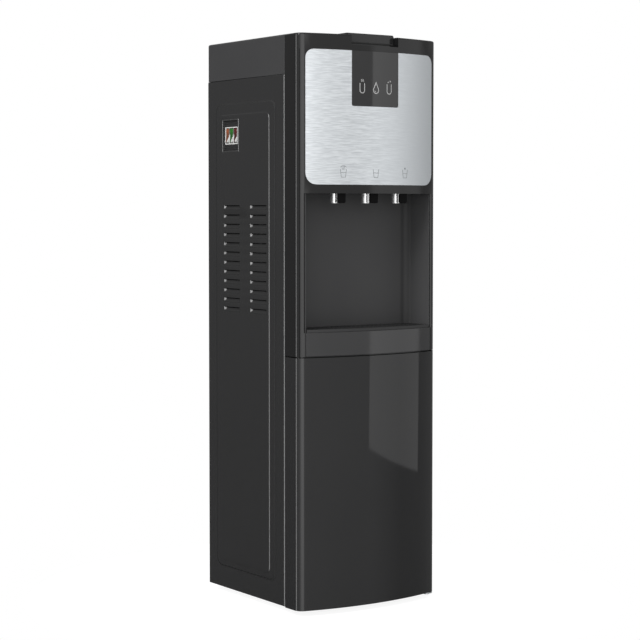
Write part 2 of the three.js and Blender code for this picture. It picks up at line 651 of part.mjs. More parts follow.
function nicheLiner() {
  const z1 = NICHE_Z1 + LINER_WALL;
  const outer = prism(nicheOutline(LINER_WALL), LINER_Z0, z1).intersect(bodyPrism(FRAME_INNER + FIT, 0, FAR));
  const cavity = prism(nicheOutline(0), LINER_Z0 + LINER_WALL, NICHE_Z1);
  const pillars = strip(OPENING_HALF - 0.1, FAR, 0, FAR).subtract(
    bodyPrism(FRAME_INSET + PILLAR_RETURN + FIT, 0, FAR),
  );
  const trayFront = slab(0, TRAY_FRONT_Z1).subtract(bodyPrism(RAIL_INSET + FIT, 0, FAR));
  const holes = TAPS.flatMap(([, x]) => {
    const swing = (PIVOT_Z - NICHE_Z1) * Math.sin(LEVER_SWING);
    const half = LEVER_WIDTH / 2 + LEVER_SLOT_CLEARANCE;
    const y0 = leverY(x) - LEVER_SLOT_CLEARANCE;
    const y1 = leverY(x) + LEVER_THICK + swing + LEVER_SLOT_CLEARANCE;
    const slot = box(x - half, x + half, y0, y1, NICHE_Z1 - 1, z1 + 1);
    return [slot, rodZ(NOZZLE_R + SLIDE_CLEARANCE, x, NOZZLE_Y, NICHE_Z1 - 1, z1 + 1)];
  });
  return cut(outer, cavity, pillars, mirrorX(pillars), trayFront, ...holes);
}

const TRAY_WALL = 2;
const TRAY_FRONT_THICK = 3;
const TRAY_Z0 = LINER_Z0 + LINER_WALL + 0.6;
const TRAY_SIDE = 0.6;
const GRILLE_THICK = 5;
const GRILLE_EDGE = 1.5;
const GRILLE_INSET = 2.6;

function dripTray() {
  const plate = strip(-OPENING_HALF + SEAM, OPENING_HALF - SEAM, FRAME_Z0 + 0.4, TRAY_FRONT_Z1);
  const front = plate.intersect(bodyPrism(FRAME_INSET, 0, FAR)).intersect(aheadOf(NICHE_BACK_Y)).subtract(
    bodyPrism(FRAME_INSET + TRAY_FRONT_THICK, 0, FAR),
  );
  const basin = prism(nicheOutline(-SLIDE_CLEARANCE), TRAY_Z0, TRAY_FRONT_Z1);
  const tub = basin.intersect(bodyPrism(FRAME_INSET + TRAY_FRONT_THICK - 0.2, 0, FAR));
  const wall = SLIDE_CLEARANCE + TRAY_WALL;
  const hollow = prism(nicheOutline(-wall), TRAY_Z0 + TRAY_WALL, FAR).intersect(
    bodyPrism(FRAME_INSET + TRAY_FRONT_THICK + TRAY_WALL, 0, FAR),
  );
  return cut(join(front, tub), hollow);
}

// The grille lies on the tray's rim; a skirt inside the rim keeps it in place.
function dripGrille() {
  const z0 = TRAY_FRONT_Z1 + FIT;
  const plate = prism(nicheOutline(-SLIDE_CLEARANCE - TRAY_SIDE), z0, z0 + GRILLE_THICK);
  const cover = plate.intersect(bodyPrism(FRAME_INSET + GRILLE_INSET, 0, FAR));
  const inside = SLIDE_CLEARANCE + TRAY_WALL + TRAY_SIDE;
  const frontInset = FRAME_INSET + TRAY_FRONT_THICK + TRAY_WALL + TRAY_SIDE;
  const skirt = prism(nicheOutline(-inside), z0 - 4, z0 + 1).intersect(bodyPrism(frontInset, 0, FAR));
  const under = prism(nicheOutline(-inside - GRILLE_EDGE), z0 - 5, z0 + GRILLE_THICK - 2.2).intersect(
    bodyPrism(frontInset + GRILLE_EDGE, 0, FAR),
  );
  return cut(join(cover, skirt), under, ...grilleSlots());
}

const SLOT_COLUMNS = 25;
const SLOT_FIELD_HALF = OPENING_HALF - 20;
const SLOT_PITCH = (2 * SLOT_FIELD_HALF) / (SLOT_COLUMNS - 1);
const SLOT_WIDTH = 4.4;
const SLOT_ROWS = [[24, 46], [51, 73]];

function grilleSlots() {
  const slots = [];
  for (const [near, far] of SLOT_ROWS) {
    for (let i = 0; i < SLOT_COLUMNS; i += 1) {
      const x = i * SLOT_PITCH - SLOT_FIELD_HALF;
      const outline = rounded(
        x - SLOT_WIDTH / 2, x + SLOT_WIDTH / 2, setback(near), setback(far), SLOT_WIDTH / 4, 1,
      );
      slots.push(prism(outline, TRAY_FRONT_Z1 - 5, TRAY_FRONT_Z1 + 10));
    }
  }
  return slots;
}

add('niche_liner', nicheLiner(), 'glossBlack');
add('drip_tray', dripTray(), 'glossBlack');
add('drip_grille', dripGrille(), 'mattBlack');

// ================================================================ taps
const TAP_Z0 = NICHE_Z1 + LINER_WALL + FIT;
const TAP_HEIGHT = 40;
const TAP_HALF = 12.2;
const TAP_FRONT_SETBACK = 21.7;
const TAP_REAR_SETBACK = 50;
const EAR_THICK = 3;
const BARB_R = 4.2;
const BARB_LENGTH = 14;
const BARB_Z = TAP_Z0 + 20;
const BARB_Y1 = setback(TAP_REAR_SETBACK) + BARB_LENGTH;
const axleHole = (AXLE_R + PIN_CLEARANCE) / Math.cos(Math.PI / ROUND_STEPS);

function tapBody(x) {
  const y0 = setback(TAP_FRONT_SETBACK);
  const y1 = setback(TAP_REAR_SETBACK);
  const outline = rounded(x - TAP_HALF, x + TAP_HALF, y0, y1, [0.1, 0.1, 6, 6], 4);
  const block = prism(outline, TAP_Z0, TAP_Z0 + TAP_HEIGHT);
  const dome = rodZ(9, x, (y0 + y1) / 2 + 1, TAP_Z0 + TAP_HEIGHT - 1, TAP_Z0 + TAP_HEIGHT + 9);
  const barb = rodY(BARB_R, x, y1 - 1, BARB_Y1, BARB_Z, 16);
  const pivotY = leverY(x) + PIVOT_BOSS_R;
  const earOutline = rounded(pivotY - 4.5, y0 + 1, PIVOT_Z - 4.5, PIVOT_Z + 4.3, [4, 0.1, 0.1, 4], 4);
  const rightEar = prismX(earOutline, x + TAP_HALF - EAR_THICK, x + TAP_HALF);
  const leftEar = prismX(earOutline, x - TAP_HALF, x - TAP_HALF + EAR_THICK);
  const holes = rodX(axleHole, x - FAR, x + FAR, pivotY, PIVOT_Z);
  return cut(join(block, dome, barb, rightEar, leftEar), holes);
}

function tapNozzle(x) {
  const z0 = NICHE_Z1 - NOZZLE_DROP;
  const z1 = TAP_Z0 - FIT;
  const bore = NOZZLE_BORE_R;
  const profile = [
    [bore + 0.8, z0], [NOZZLE_R - 0.8, z0], [NOZZLE_R, z0 + 0.8], [NOZZLE_R, z1], [bore, z1],
    [bore, z0 + 0.8], [bore + 0.8, z0],
  ];
  return solid(turned(profile, 20).translate(x, NOZZLE_Y, 0));
}

// A push lever: a paddle under the lip, a boss above it and a stub axle on each side.
function tapLever(x) {
  const y = leverY(x);
  const z0 = NICHE_Z1 - LEVER_DROP;
  const pivotY = y + PIVOT_BOSS_R;
  const half = LEVER_WIDTH / 2;
  const side = [
    ...arc(y + 1.2, z0 + 1.2, 1.2, Math.PI, 1.5 * Math.PI, 3),
    ...polygon([y + LEVER_THICK, z0], [y + LEVER_THICK, PIVOT_Z - 3]),
    ...arc(pivotY, PIVOT_Z, PIVOT_BOSS_R, -0.3, Math.PI, 10),
  ];
  const paddle = prismX(side, x - half, x + half);
  const front = rounded(x - half, x + half, z0, PIVOT_Z + 10, [3, 3, 0.1, 0.1], 3);
  const shaped = paddle.intersect(prismY(front, y - 10, y + 30));
  return join(shaped, rodX(AXLE_R, x - TAP_HALF + 0.2, x + TAP_HALF - 0.2, pivotY, PIVOT_Z));
}

for (const [use, x] of TAPS) {
  add(`tap_body_${use}`, tapBody(x), 'whitePlastic');
  add(`tap_nozzle_${use}`, tapNozzle(x), 'chrome');
  add(`tap_lever_${use}`, tapLever(x), 'mattBlack');
}

// ================================================================ door
const DOOR_RETURN_SETBACK = 61;
const DOOR_EDGE_SETBACK = SIDE_SEAM_SETBACK - 0.4;
const LINER_SETBACK = 52;
const LINER_THICK = 2.4;
const PIN_BOSS_R = 7.5;
const PIN_BOSS_LENGTH = 14;
const pinHoleR = (HINGE_PIN_R + PIN_CLEARANCE) / Math.cos(Math.PI / ROUND_STEPS);

// The free edge, on the left, reaches the side seam; the hinged edge stops short of it to swing clear.
function doorShell() {
  const skin = bodyPrism(FRAME_INSET, DOOR_Z0, DOOR_Z1);
  const inside = bodyPrism(FRAME_INNER, DOOR_Z0 + MOULDING_WALL, DOOR_Z1 - MOULDING_WALL);
  const hinged = box(0, FAR, setback(DOOR_RETURN_SETBACK), FAR, 0, FAR);
  const shell = cut(skin, inside, hinged).intersect(aheadOf(setback(DOOR_EDGE_SETBACK)));
  const low = rodZ(PIN_BOSS_R, HINGE_X, HINGE_Y, DOOR_Z0 + 1, DOOR_Z0 + PIN_BOSS_LENGTH);
  const high = rodZ(PIN_BOSS_R, HINGE_X, HINGE_Y, DOOR_Z1 - PIN_BOSS_LENGTH, DOOR_Z1 - 1);
  const lowHole = rodZ(pinHoleR, HINGE_X, HINGE_Y, DOOR_Z0 - 1, DOOR_Z0 + PIN_REACH + 4);
  const highHole = rodZ(pinHoleR, HINGE_X, HINGE_Y, DOOR_Z1 - PIN_REACH - 4, DOOR_Z1 + 1);
  return cut(join(shell, low, high), lowHole, highHole);
}

// The inner moulding closes the door; its middle is sunk to clear the bottle.
function doorLiner() {
  const z0 = DOOR_Z0 + MOULDING_WALL + FIT;
  const z1 = DOOR_Z1 - MOULDING_WALL - FIT;
  const y = setback(LINER_SETBACK);
  const rim = bodyPrism(FRAME_INNER + FIT, z0, z1).intersect(behind(y)).intersect(aheadOf(y + LINER_THICK));
  const sunk = 14;
  const margin = 30;
  const x = OPENING_HALF - margin / 2;
  const field = (by) => rounded(-x - by, x + by, z0 + margin - by, z1 - margin + by, 12 + by, 4);
  const tub = prismY(field(LINER_THICK), y - sunk, y + 1);
  const hollow = prismY(field(0), y - sunk + LINER_THICK, y + 10);
  return cut(join(rim, tub), hollow);
}

const MAGNET_HALF_HEIGHT = 22;
const DOOR_MIDDLE_Z = (DOOR_Z0 + DOOR_Z1) / 2;

function doorMagnet() {
  const x0 = -HALF_WIDTH + MOULDING_WALL + 1.6;
  const y0 = setback(LINER_SETBACK) + LINER_THICK + FIT;
  const z0 = DOOR_MIDDLE_Z - MAGNET_HALF_HEIGHT;
  return box(x0, x0 + 8, y0, PANEL_Y0 - FIT, z0, z0 + 2 * MAGNET_HALF_HEIGHT);
}

// The upper bracket lies on the frame's rail and carries the upper pin, which points down.
function upperBracket() {
  const z0 = FRAME_Z0 + RAIL_HEIGHT + FIT;
  const x0 = HINGE_X - 7;
  const outline = rounded(x0, HINGE_X + 7, HINGE_Y - 7, HINGE_Y + 26, 3, 3);
  const plate = prism(outline, z0, z0 + HINGE_PLATE).intersect(bodyPrism(FRAME_INNER + FIT, 0, FAR));
  return plate.subtract(rodZ(HINGE_PIN_R + FIT, HINGE_X, HINGE_Y, z0 - 1, z0 + HINGE_PLATE + 1));
}

function upperPin() {
  const headZ = FRAME_Z0 + RAIL_HEIGHT + HINGE_PLATE + FIT;
  const tip = DOOR_Z1 - PIN_REACH;
  const profile = [
    [0, tip], [HINGE_PIN_R - 1, tip], [HINGE_PIN_R, tip + 1], [HINGE_PIN_R, headZ], [0, headZ],
  ];
  return solid(turned(profile).translate(HINGE_X, HINGE_Y, 0));
}

add('door_shell', doorShell(), 'glossBlack');
add('door_liner', doorLiner(), 'mattBlack');
add('door_magnet', doorMagnet(), 'mattBlack');
add('hinge_bracket_top', upperBracket(), 'galvanised');
add('hinge_pin_top', upperPin(), 'stainless');

// ================================================================ top cover and lid
const COVER_Y0 = FRAME_BACK_Y + 0.4;
const COVER_STRIP = 12.5;
const LID_HALF = 95;
const LID_SEAM = 0.8;
const LID_THICK = 2.6;
const LID_RISE = 4.5;
const TONGUE_HALF = 51.2;
const TONGUE_SETBACK = 16;
const BARREL_R = 3.2;
const STUB_R = 1.8;
const LID_PIVOT_Y = setback(236);
const LID_PIVOT_Z = TOP_Z - BARREL_R;
const LUG_LENGTH = 10;
const WELL_DEPTH = 34;
const WELL_Z0 = TOP_Z - WELL_DEPTH;
const CAP_Y = setback(160);
const CAP_HOLE_R = 31;
const stubHole = (STUB_R + PIN_CLEARANCE) / Math.cos(Math.PI / ROUND_STEPS);

function topCover() {
  const skin = bodyBlock(0, COVER_Z0, TOP_Z, TOP_EDGE_R).intersect(behind(COVER_Y0));
  const shell = skin.subtract(bodyPrism(MOULDING_WALL, COVER_Z0 - 1, TOP_Z - MOULDING_WALL));
  const half = LID_HALF + LID_SEAM;
  const y0 = COVER_Y0 + COVER_STRIP;
  const y1 = LID_PIVOT_Y + BARREL_R + 0.4;
  const wall = LINER_WALL;
  const wellOuter = box(-half - wall, half + wall, y0 - wall, y1 + wall, WELL_Z0 - wall, TOP_Z - 1);
  const well = box(-half, half, y0, y1, WELL_Z0, FAR);
  const tongueWay = box(-NOTCH_HALF, NOTCH_HALF, -FAR, y0 + 1, NOTCH_Z, FAR);
  const capHole = rodZ(CAP_HOLE_R, 0, CAP_Y, WELL_Z0 - 9, WELL_Z0 + 9, 32);
  const lug = box(half - LUG_LENGTH, half + 1, LID_PIVOT_Y - BARREL_R - 2, y1 + 1, LID_PIVOT_Z - 6, TOP_Z);
  const lugs = join(lug, mirrorX(lug)).subtract(rodX(stubHole, -half, half, LID_PIVOT_Y, LID_PIVOT_Z));
  return join(cut(join(shell, wellOuter), well, tongueWay, capHole), lugs);
}

// The lid: a flush panel, a raised hollow front lip in the notch, and a hinge barrel with stub pins.
function topLid() {
  const y0 = COVER_Y0 + COVER_STRIP + LID_SEAM;
  const z0 = TOP_Z - LID_THICK;
  const lugRoom = LUG_LENGTH + 0.8;
  const panel = prism(rounded(-LID_HALF, LID_HALF, y0, LID_PIVOT_Y, [4, 4, 0.1, 0.1], 3), z0, TOP_Z);
  const rearCorner = box(
    LID_HALF + LID_SEAM - lugRoom, FAR, LID_PIVOT_Y - BARREL_R - 2.8, FAR, -FAR, FAR,
  );
  const barrel = rodX(
    BARREL_R, -LID_HALF + lugRoom, LID_HALF - lugRoom, LID_PIVOT_Y, LID_PIVOT_Z,
  );
  const stubs = rodX(STUB_R, -LID_HALF + 3, LID_HALF - 3, LID_PIVOT_Y, LID_PIVOT_Z);
  const lipY = setback(TONGUE_SETBACK);
  const lipTop = TOP_Z + LID_RISE;
  const side = polygon(
    [lipY, NOTCH_Z + 0.8], [y0 + 8, NOTCH_Z + 0.8], [y0 + 8, TOP_Z], [y0 - 8, TOP_Z],
    [y0 - 22, lipTop], [lipY + 2.5, lipTop], [lipY, lipTop - 2.5],
  );
  const lip = prismX(side, -TONGUE_HALF, TONGUE_HALF);
  const wall = 2.4;
  const sideHollow = polygon(
    [lipY + wall, NOTCH_Z], [y0 + 8 - wall, NOTCH_Z], [y0 + 8 - wall, TOP_Z - wall],
    [y0 - 9, TOP_Z - wall], [y0 - 23, lipTop - wall], [lipY + wall, lipTop - wall],
  );
  const hollow = prismX(sideHollow, -TONGUE_HALF + wall, TONGUE_HALF - wall);
  const body = cut(join(panel, lip), hollow, rearCorner, mirrorX(rearCorner));
  return join(body, barrel, stubs);
}

// A quarter-turn cap with grip ribs over the cold tank's service neck.
function tankCap() {
  const z0 = WELL_Z0 + FIT;
  const profile = [
    [0, z0 - 9], [22, z0 - 9], [22, z0], [CAP_HOLE_R + 4, z0], [CAP_HOLE_R + 4, z0 + 2],
    [26, z0 + 3], [25, z0 + 13], [23, z0 + 15], [0, z0 + 15],
  ];
  const knob = solid(turned(profile, 24).translate(0, CAP_Y, 0));
  const ribs = [];
  for (let i = 0; i < 8; i += 1) {
    const angle = (i * Math.PI) / 4;
    ribs.push(rodZ(2, 25 * Math.cos(angle), CAP_Y + 25 * Math.sin(angle), z0 + 2, z0 + 12.5, 5));
  }
  return join(knob, ...ribs);
}

add('top_cover', topCover(), 'glossBlack');
add('top_lid', topLid(), 'glossBlack');
add('tank_cap', tankCap(), 'mattBlack');

// ================================================================ switches on the left side
const PAD_FACE_X = -HALF_WIDTH - 2 * PAD_STEP;
const BEZEL_Y0 = setback(SWITCH_SETBACK0);
const BEZEL_Y1 = setback(SWITCH_SETBACK1);
const BEZEL_Z1 = TOP_Z - SWITCH_DROP;
const BEZEL_Z0 = BEZEL_Z1 - SWITCH_HEIGHT;
const BEZEL_WALL = 2;
const BEZEL_PROUD = 0.5;
const BEZEL_FLANGE = 4;
const BEZEL_RECESS = 4;
const BEZEL_DEPTH = 15;
const PLATE_MARGIN_Y = 7.6;
const PLATE_MARGIN_Z = 14.2;
const PLATE_Y0 = BEZEL_Y0 + PLATE_MARGIN_Y;
const PLATE_Y1 = BEZEL_Y1 - PLATE_MARGIN_Y;
const PLATE_Z0 = BEZEL_Z0 + PLATE_MARGIN_Z;
const PLATE_Z1 = BEZEL_Z1 - PLATE_MARGIN_Z;
const ROCKER_COUNT = 3;
const ROCKER_PITCH = (PLATE_Y1 - PLATE_Y0) / ROCKER_COUNT;
const ROCKER_GAP = 0.5;
const ROCKER_BORDER = 1.6;
const ROCKER_TILT = THREE.MathUtils.degToRad(9);
const ROCKER_X = PAD_FACE_X + 7.4;
const ROCKER_Z = (PLATE_Z0 + PLATE_Z1) / 2;
const rockerY = (i) => PLATE_Y0 + (i + 0.5) * ROCKER_PITCH;

function switchBezel() {
  const x1 = PAD_FACE_X + BEZEL_DEPTH;
  const block = box(PAD_FACE_X - BEZEL_PROUD, x1, BEZEL_Y0, BEZEL_Y1, BEZEL_Z0, BEZEL_Z1);
  const flangeX = -HALF_WIDTH + SHEET + FIT;
  const flange = box(
    flangeX, flangeX + BEZEL_WALL, BEZEL_Y0 - BEZEL_FLANGE, BEZEL_Y1 + BEZEL_FLANGE,
    BEZEL_Z0 - BEZEL_FLANGE, BEZEL_Z1 + BEZEL_FLANGE,
  );
  const recess = box(
    PAD_FACE_X - 1, PAD_FACE_X + BEZEL_RECESS, BEZEL_Y0 + BEZEL_WALL, BEZEL_Y1 - BEZEL_WALL,
    BEZEL_Z0 + BEZEL_WALL, BEZEL_Z1 - BEZEL_WALL,
  );
  const socket = box(
    PAD_FACE_X, FAR, PLATE_Y0 - FIT, PLATE_Y1 + FIT, PLATE_Z0 - FIT, PLATE_Z1 + FIT,
  );
  const hollow = box(
    PAD_FACE_X + BEZEL_RECESS + BEZEL_WALL, FAR, BEZEL_Y0 + BEZEL_WALL, BEZEL_Y1 - BEZEL_WALL,
    BEZEL_Z0 + BEZEL_WALL, BEZEL_Z1 - BEZEL_WALL,
  );
  const ribs = [];
  for (const start of [BEZEL_Z0 + BEZEL_WALL + 2.2, PLATE_Z1 + 2.4]) {
    for (let i = 0; i < 3; i += 1) {
      const z = start + i * 3.4;
      ribs.push(box(
        PAD_FACE_X + BEZEL_RECESS - 1.2, PAD_FACE_X + BEZEL_RECESS + 0.2,
        BEZEL_Y0 + BEZEL_WALL - 0.2, BEZEL_Y1 - BEZEL_WALL + 0.2, z, z + 1.5,
      ));
    }
  }
  return join(cut(join(block, flange), recess, socket, hollow), ...ribs);
}

function switchFrame() {
  const x0 = PAD_FACE_X + 1.6;
  const plate = box(x0, x0 + 14, PLATE_Y0, PLATE_Y1, PLATE_Z0, PLATE_Z1);
  const wells = [];
  for (let i = 0; i < ROCKER_COUNT; i += 1) {
    const half = ROCKER_PITCH / 2 - ROCKER_BORDER / 2;
    wells.push(box(
      x0 - 1, FAR, rockerY(i) - half, rockerY(i) + half, PLATE_Z0 + ROCKER_BORDER, PLATE_Z1 - ROCKER_BORDER,
    ));
  }
  return cut(plate, ...wells);
}

// A rocker with a shallow V face, tipped so that its upper half is pressed in.
function rocker(i) {
  const half = (PLATE_Z1 - PLATE_Z0) / 2 - ROCKER_BORDER - 1.4;
  const tip = 6.2;
  const face = polygon(
    [5, -half], [5, half], [-tip + 1.2, half], [-tip, half - 1.2], [-tip + 1.9, 0],
    [-tip, -half + 1.2], [-tip + 1.2, -half],
  );
  const tipped = face.map((p) => p.clone().rotateAround(new THREE.Vector2(0, 0), -ROCKER_TILT));
  const placed = tipped.map((p) => new THREE.Vector2(p.x + ROCKER_X, p.y + ROCKER_Z));
  const halfWidth = ROCKER_PITCH / 2 - ROCKER_BORDER / 2 - ROCKER_GAP;
  return prismY(placed, rockerY(i) - halfWidth, rockerY(i) + halfWidth);
}

add('switch_bezel', switchBezel(), 'mattBlack');
add('switch_frame', switchFrame(), 'whitePlastic');
add('rocker_cold', rocker(0), 'darkRed');
add('rocker_power', rocker(1), 'green');
add('rocker_hot', rocker(2), 'red');

// ================================================================ back panel
const BACK_HALF = HALF_WIDTH - SHEET - FIT;
const BACK_Z1 = COVER_Z0 - SEAM;
const VENT_ROWS = 11;
const VENT_PITCH = 9;
const VENT_HEIGHT = 4;
const VENT_HALF = 46;
const VENT_RIB_HALF = 2.5;
const FAN_Z = TOP_Z - 144;
const SHELF_Z = FRAME_Z0 - 5;
const RECESS_DEPTH = 17;
const DRAIN_Z = SHELF_Z + 49.6;
const DRAIN_HOLE_R = 7;
const DRAIN_FLANGE_R = 11.5;
const GLAND_X = -HALF_WIDTH + 59;
const GLAND_Z = BODY_Z0 + 52;
const GLAND_R = 8;
const GLAND_BORE_R = 3.6;

function backRecess(x, z, halfX, halfZ) {
  const y1 = BACK_Y;
  const outline = (by) => rounded(x - halfX - by, x + halfX + by, z - halfZ - by, z + halfZ + by, 4 + by, 3);
  const dish = prismY(outline(SHEET), y1 - RECESS_DEPTH - SHEET, y1);
  const hollow = prismY(outline(0), y1 - RECESS_DEPTH, y1 + 1);
  return { dish, hollow };
}

function backPanel() {
  const plate = box(-BACK_HALF, BACK_HALF, BACK_PANEL_Y0, BACK_Y, BODY_Z0, BACK_Z1);
  const drains = backRecess(0, DRAIN_Z, 26, 24);
  const gland = backRecess(GLAND_X, GLAND_Z, 20, 20);
  const vents = [];
  for (let row = 0; row < VENT_ROWS; row += 1) {
    const z = FAN_Z + (row - (VENT_ROWS - 1) / 2) * VENT_PITCH - VENT_HEIGHT / 2;
    for (const x0 of [-VENT_HALF, VENT_RIB_HALF]) {
      const x1 = x0 + VENT_HALF - VENT_RIB_HALF;
      vents.push(prismY(slotOutline(x0, x1, z, z + VENT_HEIGHT, 1), 0, FAR));
    }
  }
  const holes = [
    rodY(DRAIN_HOLE_R, 0, 0, FAR, DRAIN_Z, 12), rodY(GLAND_R + FIT, GLAND_X, 0, FAR, GLAND_Z),
  ];
  return cut(join(plate, drains.dish, gland.dish), drains.hollow, gland.hollow, ...vents, ...holes);
}

// The drain plug: a pipe stub through the recess and a screw cap on it.
function drainPlug() {
  const seat = BACK_Y - RECESS_DEPTH;
  const stub = rodY(DRAIN_HOLE_R - FIT, 0, seat - 22, seat + 1, DRAIN_Z, 12);
  const flange = rodY(DRAIN_FLANGE_R, 0, seat + FIT, seat + 4, DRAIN_Z, 16);
  const cap = rodY(9.5, 0, seat + 3, seat + 15, DRAIN_Z, 8);
  return join(stub, flange, cap);
}

// The mains lead's gland: a snap bush with a bore and a collar.
function cableGland() {
  const seat = BACK_Y - RECESS_DEPTH;
  const bush = join(
    rodY(GLAND_R, GLAND_X, seat - 8, seat + 1, GLAND_Z),
    rodY(GLAND_R + 3.5, GLAND_X, seat + FIT, seat + 4, GLAND_Z),
    rodY(GLAND_R - 2, GLAND_X, seat + 3, seat + 14, GLAND_Z),
  );
  return bush.subtract(rodY(GLAND_BORE_R, GLAND_X, 0, FAR, GLAND_Z, 12));
}

add('back_panel', backPanel(), 'satinSteel');
add('drain_plug', drainPlug(), 'mattBlack');
add('cable_gland', cableGland(), 'mattBlack');

// ================================================================ machine room
const SHELF_FLANGE = 12;
const HOSE_R = 4.5;
const HOSE_HOLE_R = 8;
const HOSE_X = HALF_WIDTH - 37;
const HOSE_Y = BACK_Y - 34;

function machineShelf() {
  const x = BASE_X;
  const y0 = BASE_Y0;
  const y1 = BACK_Y - SHEET - FIT - SHEET - FIT;
  const tray = box(-x, x, y0, y1, SHELF_Z - SHELF_FLANGE, SHELF_Z);
  const inner = box(-x + SHEET, x - SHEET, y0 + SHEET, y1 - SHEET, -FAR, SHELF_Z - SHEET);
  return cut(tray, inner, rodZ(HOSE_HOLE_R, HOSE_X, HOSE_Y, SHELF_Z - 5, SHELF_Z + 5));
}

const TANK_Y = CAP_Y;
const TANK_R = 50;
const TANK_Z0 = TOP_Z - 224;
const TANK_Z1 = WELL_Z0 - LINER_WALL - 20;
const TANK_NECK_R = 27;
const SPOUT_PITCH = 30;
const SPOUTS = [-SPOUT_PITCH, 0, SPOUT_PITCH];
const SPOUT_DROP = 18;
const JACKET_HALF = 64;

// The cold tank: a drawn can with a service neck at the top and three outlets at its foot.
function coldTank() {
  const neckTop = WELL_Z0 - LINER_WALL - FIT - 0.5;
  const profile = [
    [0, TANK_Z0], [TANK_R - 6, TANK_Z0], [TANK_R, TANK_Z0 + 6], [TANK_R, TANK_Z1 - 6], [TANK_R - 6, TANK_Z1],
    [TANK_NECK_R, TANK_Z1], [TANK_NECK_R, neckTop], [TANK_NECK_R - 2, neckTop],
    [TANK_NECK_R - 2, TANK_Z1 - 2], [TANK_R - 7, TANK_Z1 - 2], [TANK_R - 2, TANK_Z1 - 7],
    [TANK_R - 2, TANK_Z0 + 7], [TANK_R - 7, TANK_Z0 + 2], [0, TANK_Z0 + 2],
  ];
  const can = solid(turned(profile, 24).translate(0, TANK_Y, 0));
  const spouts = SPOUTS.map((x) => rodZ(BARB_R, x, TANK_Y, TANK_Z0 - SPOUT_DROP, TANK_Z0 + 1, 8));
  return join(can, ...spouts);
}

const MODULE_HALF = 22;
const MODULE_Z = FAN_Z;

function coldTankJacket() {
  const block = prism(
    rounded(-JACKET_HALF, JACKET_HALF, TANK_Y - JACKET_HALF, TANK_Y + JACKET_HALF, 14, 4),
    TANK_Z0 - 12, TANK_Z1 - 1,
  );
  const bore = rodZ(TANK_R + 2 * FIT, 0, TANK_Y, TANK_Z0 - FIT, FAR, 24);
  const spouts = SPOUTS.map((x) => rodZ(BARB_R + 2 * FIT, x, TANK_Y, 0, TANK_Z1, 8));
  const half = MODULE_HALF + FIT;
  const window = box(-half, half, TANK_Y, FAR, MODULE_Z - half, MODULE_Z + half);
  return cut(block, bore, window, ...spouts);
}

// Thermoelectric module: a cold block hollowed to the can, and the module's wafer behind it.
function coolingModule() {
  const y1 = TANK_Y + JACKET_HALF;
  const half = MODULE_HALF;
  const block = box(-half, half, TANK_Y + 30, y1, MODULE_Z - half, MODULE_Z + half);
  const wafer = box(-20, 20, y1 - 0.5, y1 + 3.8, MODULE_Z - 20, MODULE_Z + 20);
  return join(block.subtract(rodZ(TANK_R + 2 * FIT, 0, TANK_Y, 0, FAR, 24)), wafer);
}

const SINK_Y0 = TANK_Y + JACKET_HALF + 3.8 + FIT;
const SINK_BASE = 6;
const SINK_DEPTH = 34;
const SINK_HALF = 46;
const FIN_COUNT = 12;
const FIN_THICK = 1.2;

function heatSink() {
  const y1 = SINK_Y0 + SINK_DEPTH;
  const base = box(-SINK_HALF, SINK_HALF, SINK_Y0, SINK_Y0 + SINK_BASE, FAN_Z - SINK_HALF, FAN_Z + SINK_HALF);
  const fins = [];
  for (let i = 0; i < FIN_COUNT; i += 1) {
    const x = -SINK_HALF + (i * (2 * SINK_HALF - FIN_THICK)) / (FIN_COUNT - 1);
    fins.push(box(x, x + FIN_THICK, SINK_Y0 + 1, y1, FAN_Z - SINK_HALF, FAN_Z + SINK_HALF));
  }
  return join(base, ...fins);
}

const FAN_Y0 = SINK_Y0 + SINK_DEPTH + FIT;
const FAN_DEPTH = 25;
const FAN_R = 43;
const FAN_HUB_R = 17;
const FAN_BLADES = 7;

function fanFrame() {
  const y1 = FAN_Y0 + FAN_DEPTH;
  const shell = prismY(
    rounded(-SINK_HALF, SINK_HALF, FAN_Z - SINK_HALF, FAN_Z + SINK_HALF, 4, 2), FAN_Y0, y1,
    [circle(0, FAN_Z, FAN_R, 28).reverse()],
  );
  const hub = rodY(FAN_HUB_R, 0, y1 - 3, y1, FAN_Z);
  const spokes = [45, 135, 225, 315].map((deg) => {
    const spoke = new THREE.BoxGeometry(FAN_R, 2.4, 4).translate(FAN_R / 2, 0, 0);
    return solid(spoke.rotateY(THREE.MathUtils.degToRad(deg)).translate(0, y1 - 1.2, FAN_Z));
  });
  return join(shell, hub, ...spokes);
}

// The rotor: a closed cap and twisted blades, each a thin slab turned about its own length.
function fanRotor() {
  const y0 = FAN_Y0 + 2;
  const y1 = FAN_Y0 + FAN_DEPTH - 3 - 1;
  const cap = rodY(FAN_HUB_R, 0, y0, y1, FAN_Z);
  const blades = [];
  for (let i = 0; i < FAN_BLADES; i += 1) {
    const length = FAN_R - 1 - FAN_HUB_R + 3;
    const blade = new THREE.BoxGeometry(length, 1.8, 19, 2, 1, 1);
    const at = blade.attributes.position;
    for (let k = 0; k < at.count; k += 1) {
      const twist = 0.75 - (0.25 * (at.getX(k) + length / 2)) / length;
      const [y, z] = [at.getY(k), at.getZ(k)];
      at.setY(k, y * Math.cos(twist) - z * Math.sin(twist));
      at.setZ(k, y * Math.sin(twist) + z * Math.cos(twist));
    }
    blade.translate(FAN_HUB_R - 3 + length / 2, 0, 0);
    blade.rotateY((i * 2 * Math.PI) / FAN_BLADES).translate(0, (y0 + y1) / 2, FAN_Z);
    blades.push(solid(blade));
  }
  return join(cap, ...blades).intersect(rodY(FAN_R - 1, 0, y0, y1, FAN_Z, 32));
}

